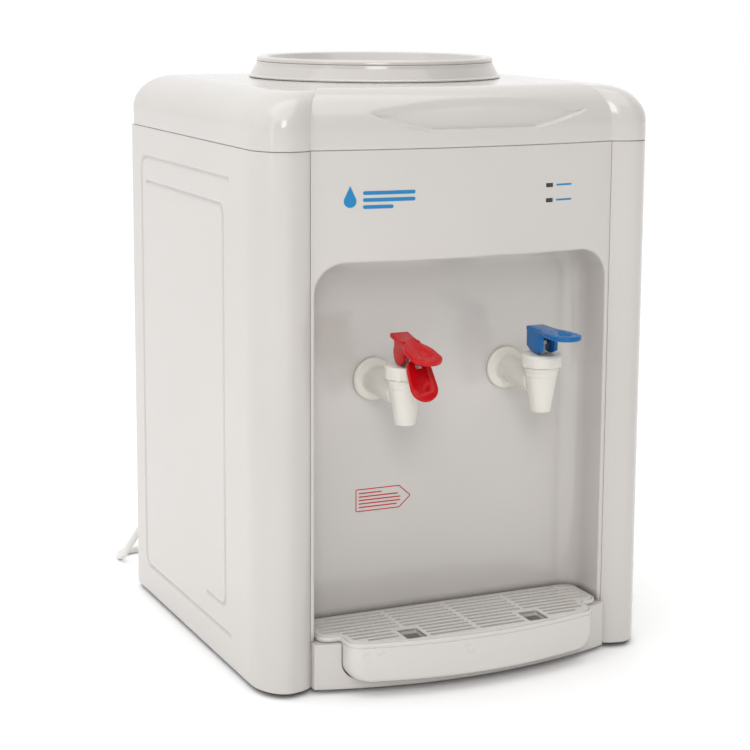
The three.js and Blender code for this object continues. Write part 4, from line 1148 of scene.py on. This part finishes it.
def ellipsoid(cx, cy, cz, rx, ry, rz):
    rows = []
    for i in range(1, 24):
        a = math.pi * i / 24
        rows.append([(cx + rx * math.sin(a) * math.cos(b), cy + ry * math.sin(a) * math.sin(b),
                      cz + rz * math.cos(a)) for b in np.linspace(0, 2 * math.pi, 48)[:-1]])
    return grid(rows, around=True)


def thumb_rest(x):
    """A shallow oval, to be pressed into the lever's top over its tip."""
    return ellipsoid(x, LEVER_TIP + 12, LEVER_TOP + 8.6, 9.2, 11.5, 10)


def make_cold_lever():
    x = TAP_X
    lever = raw("cold_lever_skin", slab(lever_outline(x), LEVER_TOP - 3.4, LEVER_TOP, 0.9))
    side = soften([(-48, 234.6), (-41, 231.6), (-33, 232.6), (-27, 236), (-27, 248),
                   (-48, 248)], 1.6, 4)
    cheeks = [turn_x(slab(side, x + a, x + b, 0.4)) for a, b in ((-7, -4.3), (4.3, 7))]
    back = turn_y(slab(soften([(x - 6, 236), (x + 6, 236), (x + 6, 248), (x - 6, 248)], 0.8, 3),
                       -29.2, -27.2, 0.3))
    carve(lever, *cheeks, back, operation="UNION")
    carve(lever, thumb_rest(x))
    piece(lever, "cold_lever", "blue_plastic", ["cold_lever"], bevel=0.35, sharp=50)


def tilt_shape(shape, degrees, y0=0, z0=0, dz=0.0):
    """A shape turned about a line along X, then moved up by dz."""
    a = math.radians(degrees)
    verts, faces = shape
    out = []
    for x, y, z in verts:
        v, w = y - y0, z - z0
        out.append((x, y0 + v * math.cos(a) - w * math.sin(a),
                    z0 + v * math.sin(a) + w * math.cos(a) + dz))
    return out, faces


def make_hot_lever():
    x = -TAP_X
    tilt = (12, -30, LEVER_TOP, 1.6)
    plate = slab(lever_outline(x), LEVER_TOP - 3.4, LEVER_TOP, 0.9)
    lever = raw("hot_lever_skin", tilt_shape(plate, *tilt))
    disc = arc(-40, 240, 8.4, 150, 390, 36) + [(-33, 250), (-46, 249)]
    cheeks = [turn_x(slab(disc, x + a, x + b, 0.5)) for a, b in ((-7, -4.3), (4.3, 7))]
    carve(lever, *cheeks, operation="UNION")
    carve(lever, tilt_shape(thumb_rest(x), *tilt))
    piece(lever, "hot_lever", "red_plastic", ["hot_lever"], bevel=0.35, sharp=50)


def make_catch():
    """The tongue in front of the hot tap, with a flange round its edge and a slot on top."""
    outline = soften([(-4.2, 3), (-4.2, -1), (-7.4, -2.5), (-9.2, -8)]
                     + [(10 * math.cos(a), -22 + 10 * math.sin(a))
                        for a in np.linspace(math.pi, 2 * math.pi, 30)]
                     + [(9.2, -8), (7.4, -2.5), (4.2, -1), (4.2, 3)], 0.8, 3)
    tongue = raw("hot_catch_skin", hang(slab(outline, -1.6, 1.6, 0.7)))
    slot_hole = rounded_rect(0, -6.2, 6.4, 3.2, 1.5, 5)
    carve(tongue, hang(slab(slot_hole, -4, 4, 0.1, 1)),
          hang(ellipsoid(0, -21, 5.2, 7.4, 8.6, 4.4)))
    piece(tongue, "hot_catch", "red_plastic", ["hot_safety_catch"], bevel=0.3, sharp=50)


def hang(shape):
    """Moves a shape from the catch's own plane to where it hangs."""
    moved, faces = tilt_shape(shape, 54)
    return [(x - TAP_X, y - 54, z + 238) for x, y, z in moved], faces


make_tap("hot", -TAP_X)
make_tap("cold", TAP_X)
make_cold_lever()
make_hot_lever()
make_catch()


# ---- Drip tray --------------------------------------------------------------------------
TRAY_FRONT_Y = -60.0
TRAY_DEPTH = 14.0
TRAY_HALF = 98.5
TRAY_WIDE = 113.4


def tray_front(x):
    return TRAY_FRONT_Y + TRAY_DEPTH * (x / TRAY_HALF) ** 2


def tray_plan():
    """The rim's outline, counter-clockwise from the left of the front."""
    cx = TRAY_HALF - 12
    front = [(x, tray_front(x)) for x in np.linspace(0, cx, 30)]
    corner = arc(cx, tray_front(cx) + 12, 12, -80, 0, 10)
    shoulder = arc(TRAY_WIDE - 10, -17, 10, -90, 0, 8)
    rear = arc(TRAY_WIDE - 10, 6.5, 10, 0, 90, 8)
    half = front + corner + [(TRAY_HALF, -28.2), (TRAY_HALF + 1.2, -27)] + shoulder + rear
    back = [(x, 16.5) for x in np.linspace(TRAY_WIDE - 12, 0, 20)[1:]]
    half += back
    left = [(-x, y) for x, y in half[1:-1]]
    return np.array(half + left[::-1])


def tray_loop(plan, z, move=0.0, clip=None, scale=1.0):
    pts = np.array(inset(plan, move)) if move else plan.copy()
    if clip is not None:
        pts[:, 0] = np.clip(pts[:, 0], -clip, clip)
    pts[:, 0] *= scale
    return [(x, y, z) for x, y in pts]


def make_tray():
    plan = tray_plan()
    rows = []
    for k in range(10):
        a = math.pi / 2 * k / 9
        z = 8 + 12 * (1 - math.cos(a))
        half = TRAY_HALF - 12 * (1 - math.sin(a))
        roll = 1.6 * max(0.0, 1 - (z - 8) / 1.6) ** 2
        rows.append(tray_loop(plan, z, roll, TRAY_HALF, half / TRAY_HALF))
    for z, move, clip in [(33.0, 0, TRAY_HALF), (33.8, 0, TRAY_HALF + 0.2), (33.8, 0.3, None),
                          (34.1, 0, None), (36.2, 0, None), (36.6, 0.12, None),
                          (36.9, 0.42, None), (37.0, 0.75, None), (36.9, 1.1, None),
                          (36.6, 1.3, None), (35.4, 1.35, None), (35.3, 2.4, TRAY_HALF - 1.5),
                          (34.8, 2.5, TRAY_HALF - 2.5)]:
        rows.append(tray_loop(plan, z, move, clip))
    for k in range(7):
        a = math.pi / 2 * (1 - k / 6)
        z = 10.5 + 9.5 * (1 - math.cos(a))
        half = TRAY_HALF - 2.5 - 9.5 * (1 - math.sin(a))
        rows.append(tray_loop(plan, z, 2.5, TRAY_HALF - 2.5, half / (TRAY_HALF - 2.5)))
    tray = raw("drip_tray_skin", grid(rows, around=True))
    piece(tray, "tray", "tray_white", ["drip_tray"], sharp=50)


SLOT_PITCH = 6.4
SLOT_WIDE = 3.4
CUP_HOLES = (-49.0, 49.0)
CUP_Y = -41


def slot_span(y):
    """How far a slot may reach to each side at this depth."""
    plan = np.array(inset(tray_plan(), 5.6))
    right = plan[plan[:, 0] > 0]
    reach = []
    for (x0, y0), (x1, y1) in zip(right, right[1:]):
        for edge in (y - 1.9, y + 1.9):
            if min(y0, y1) <= edge <= max(y0, y1) and abs(y1 - y0) > 1e-6:
                reach.append(x0 + (x1 - x0) * (edge - y0) / (y1 - y0))
    return min(reach) if reach else 0.0


def slot_segments(y):
    """The free stretches of one row of slots between the ribs and the framed holes."""
    full = slot_span(y)
    walls = [(-1.6, 1.6)]
    for x in CUP_HOLES:
        if -55 < y < -27:
            walls.append((x - 11, x + 11))
        elif y >= -27:
            walls.append((x - 1.5, x + 1.5))
    walls.sort()
    out = []
    start = -full
    for a, b in walls:
        if a - start > 5:
            out.append((start, min(a, full)))
        start = b
    if full - start > 5:
        out.append((start, full))
    return out


def make_grille():
    plan = [tuple(p) for p in np.array(inset(tray_plan(), 1.7))]
    plate = raw("drip_grille_skin", slab(plan, 35.7, 37.3, 0.3, 2))
    cutters = []
    for row in range(10):
        y = 9 - SLOT_PITCH * row
        for x0, x1 in slot_segments(y):
            outline = rounded_rect((x0 + x1) / 2, y, x1 - x0, SLOT_WIDE, 1.4, 4)
            cutters.append(prism(outline, 30, 42))
    cutters += [prism(rounded_rect(x, CUP_Y, 16, 20, 1.2, 4), 30, 42) for x in CUP_HOLES]
    carve(plate, merge(cutters))
    piece(plate, "grille", "tray_white", ["drip_grille"], bevel=0.35, sharp=60, segments=2)
    walls = []
    for x in CUP_HOLES:
        outer = rounded_rect(x, CUP_Y, 17.8, 21.8, 1.8, 4)
        inner = rounded_rect(x, CUP_Y, 16, 20, 1.2, 4)
        rows = [[(u, v, z) for u, v in line] for line, z in
                ((outer, 33.2), (outer, 36.2), (inner, 36.2), (inner, 33.2))]
        walls.append(grid(rows, around=True, fold=True))
    solid("grille_hole_walls", merge(walls), "grille", "tray_white", sharp=30)


make_tray()
make_grille()


# ---- Back panel, base and feet ----------------------------------------------------------
def y_slab(outline, y0, y1, edge=0.5):
    return turn_y(slab(outline, y0, y1, edge))


def make_back():
    plate = raw("back_panel_skin", y_slab(rounded_rect(0, 191, 297.2, 370, 4), 261.7, 264.7))
    cutters = []
    for middle, count, wide in ((285, 8, 144), (130, 4, 120)):
        for k in range(count):
            z = middle + (k - (count - 1) / 2) * 9
            outline = rounded_rect(0, z, wide, 4.4, 2.1, 5)
            cutters.append(y_slab(outline, 255, 270, 0.1))
    for _, x in SWITCHES:
        cutters.append(y_slab(rounded_rect(x, SWITCH_Z, 14.6, 22.6, 0.8, 3), 255, 270, 0.1))
    cutters.append(y_slab(arc(DRAIN_X, PORT_Z, 7.4, 0, 352, 44), 255, 270, 0.1))
    cutters.append(y_slab(arc(CORD_X, PORT_Z, 5.4, 0, 350, 35), 255, 270, 0.1))
    carve(plate, merge(cutters))
    piece(plate, "cabinet", "body_white", ["back_panel"], bevel=0.5, sharp=50)


def screw_shape(x, z):
    profile = soften([(0, 264.2), (3.6, 264.2), (3.5, 265.4), (2.2, 266.3), (0, 266.5)], 0.4, 3,
                     False)
    return lathe(profile, 36, x, along="y", at=z)


def make_screws():
    spots = [(x, z) for x in (-138, 138) for z in (22, 191, 360)] + [(-50, 366), (50, 366)]
    heads = raw("panel_screws", merge([screw_shape(x, z) for x, z in spots]))
    slots = []
    for x, z in spots:
        for w, h in ((4.2, 0.9), (0.9, 4.2)):
            slots.append(y_slab(rounded_rect(x, z, w, h, 0.3, 2), 265.6, 268, 0.05))
    for k in range(2):
        carve(heads, merge(slots[k::2]))
    piece(heads, "cabinet", "steel", bevel=0.12, sharp=45, segments=2)


def make_switches():
    z = SWITCH_Z
    for name, x in SWITCHES:
        bezel = y_slab(rounded_rect(x, z, 17.2, 25.6, 1.6), 265, 267)
        housing = raw(name + "_switch_frame", bezel)
        carve(housing, y_slab(rounded_rect(x, z, 14, 22, 0.5), 246, 266, 0.1), operation="UNION")
        carve(housing, y_slab(rounded_rect(x, z, 10.8, 18.8, 0.6), 257, 270, 0.1))
        piece(housing, "cabinet", "dark_plastic", [name + "_switch_housing"], bevel=0.3,
              sharp=50)
        outline = [(-2, -8.2), (4.2, -8.2), (2.6, 0), (4.2, 8.2), (-2, 8.2), (-4, 0)]
        shape = turn_x(slab(soften(outline, 1.0, 4), x - 5, x + 5, 0.4))
        verts, faces = tilt_shape(shape, -7)
        rocker = raw(name + "_rocker_skin", ([(a, b + 264, c + z) for a, b, c in verts], faces))
        slot = "red_plastic" if name == "heating" else "blue_plastic"
        piece(rocker, name + "_rocker", slot, [name + "_switch_rocker"], sharp=45)


def make_drain():
    spout = [(3.8, 246), (5.5, 246), (5.5, 256), (11, 256), (11, 261.4), (7, 261.4), (7, 274),
             (3.8, 274)]
    solid("drain_spout_skin", lathe(soften(spout, 0.5, 3), 48, DRAIN_X, along="y", at=PORT_Z),
          "cabinet", "tap_white", ["drain_spout"], sharp=45)
    seg, rows = 96, []
    profile = soften([(0, 274.5), (7.6, 274.5), (7.6, 266.5), (9.6, 266.5), (10, 267.2),
                      (10, 276.6), (9, 278), (4, 278), (3.4, 277.4), (0, 277.4)], 0.4, 3, False)
    for j in range(seg):
        a = 2 * math.pi * j / seg
        cut = 0.45 * (math.cos(24 * a) > 0.2)
        line = [(r - cut if r > 9.3 and h < 276 else r, h) for r, h in profile]
        rows.append([(DRAIN_X + r * math.cos(a), h, PORT_Z + r * math.sin(a)) for r, h in line])
    solid("drain_cap_skin", grid(rows, fold=True), "drain_cap", "tap_white",
          ["drain_cap"], sharp=40)


def make_feet():
    spots = {"front_left": (-125, 46), "front_right": (125, 46), "rear_left": (-125, 236),
             "rear_right": (125, 236)}
    profile = [(0, -4), (9.5, -4), (11, -2.6), (11, 1.7), (3.8, 1.7), (3.8, 4.3), (5.4, 4.6),
               (3, 7.5), (0, 7.5)]
    for name, (x, y) in spots.items():
        shape = lathe(soften(profile, 0.7, 3, False), 48, x, y)
        solid("foot_pad_" + name, shape, "cabinet", "foot_rubber",
              ["foot_" + name], sharp=45)


make_back()
make_screws()
make_switches()
make_drain()
make_feet()


# ---- Studio -----------------------------------------------------------------------------
def area_light(name, place_at, wide, tall, power):
    data = bpy.data.lights.new(name, "AREA")
    data.shape = "RECTANGLE"
    data.size, data.size_y = wide, tall
    data.energy = power
    light = bpy.data.objects.new(name, data)
    light.location = place_at
    way = Vector((0, 0, 0.25)) - Vector(place_at)
    light.rotation_euler = way.to_track_quat("-Z", "Y").to_euler()
    link(light)


def make_world():
    """A white room behind the object that falls off towards the front."""
    world = bpy.data.worlds.new("studio")
    world.use_nodes = True
    tree = world.node_tree
    coords = add_node(tree, "TexCoord")
    split = add_node(tree, "SeparateXYZ")
    fall = add_node(tree, "MapRange", From_Min=-0.3, From_Max=0.35, To_Min=0.28, To_Max=1)
    fall.interpolation_type = "SMOOTHSTEP"
    tree.links.new(coords.outputs["Generated"], split.inputs["Vector"])
    tree.links.new(split.outputs["Y"], fall.inputs["Value"])
    background = tree.nodes["Background"]
    background.inputs["Color"].default_value = (1, 1, 1, 1)
    tree.links.new(fall.outputs["Result"], background.inputs["Strength"])
    return world


def make_studio():
    half = 6.0
    mesh = bpy.data.meshes.new("floor")
    mesh.from_pydata([(-half, -half, 0), (half, -half, 0), (half, half, 0), (-half, half, 0)], [],
                     [(0, 1, 2, 3)])
    floor = bpy.data.objects.new("floor", mesh)
    link(floor)
    paper, tree, shader = new_material("paper_floor")
    tint = blend_colour(tree, noise_of(tree, 3, 2), (0.955, 0.955, 0.955), (0.965, 0.965, 0.965))
    tree.links.new(tint, shader.inputs["Base Color"])
    shader.inputs["Roughness"].default_value = 0.8
    mesh.materials.append(paper)
    bpy.context.scene.world = make_world()
    area_light("left_box", (-1.9, -0.6, 0.9), 0.35, 1.5, 3)
    area_light("front_box", (-1.0, -2.4, 1.6), 0.9, 1.1, 21)
    overhead = bpy.data.lights.new("overhead", "SUN")
    overhead.energy = 1.75
    overhead.angle = 1.4
    light = bpy.data.objects.new("overhead", overhead)
    light.rotation_euler = (math.radians(12), math.radians(-8), 0)
    link(light)
    bpy.context.scene.view_settings.view_transform = "Standard"


make_studio()
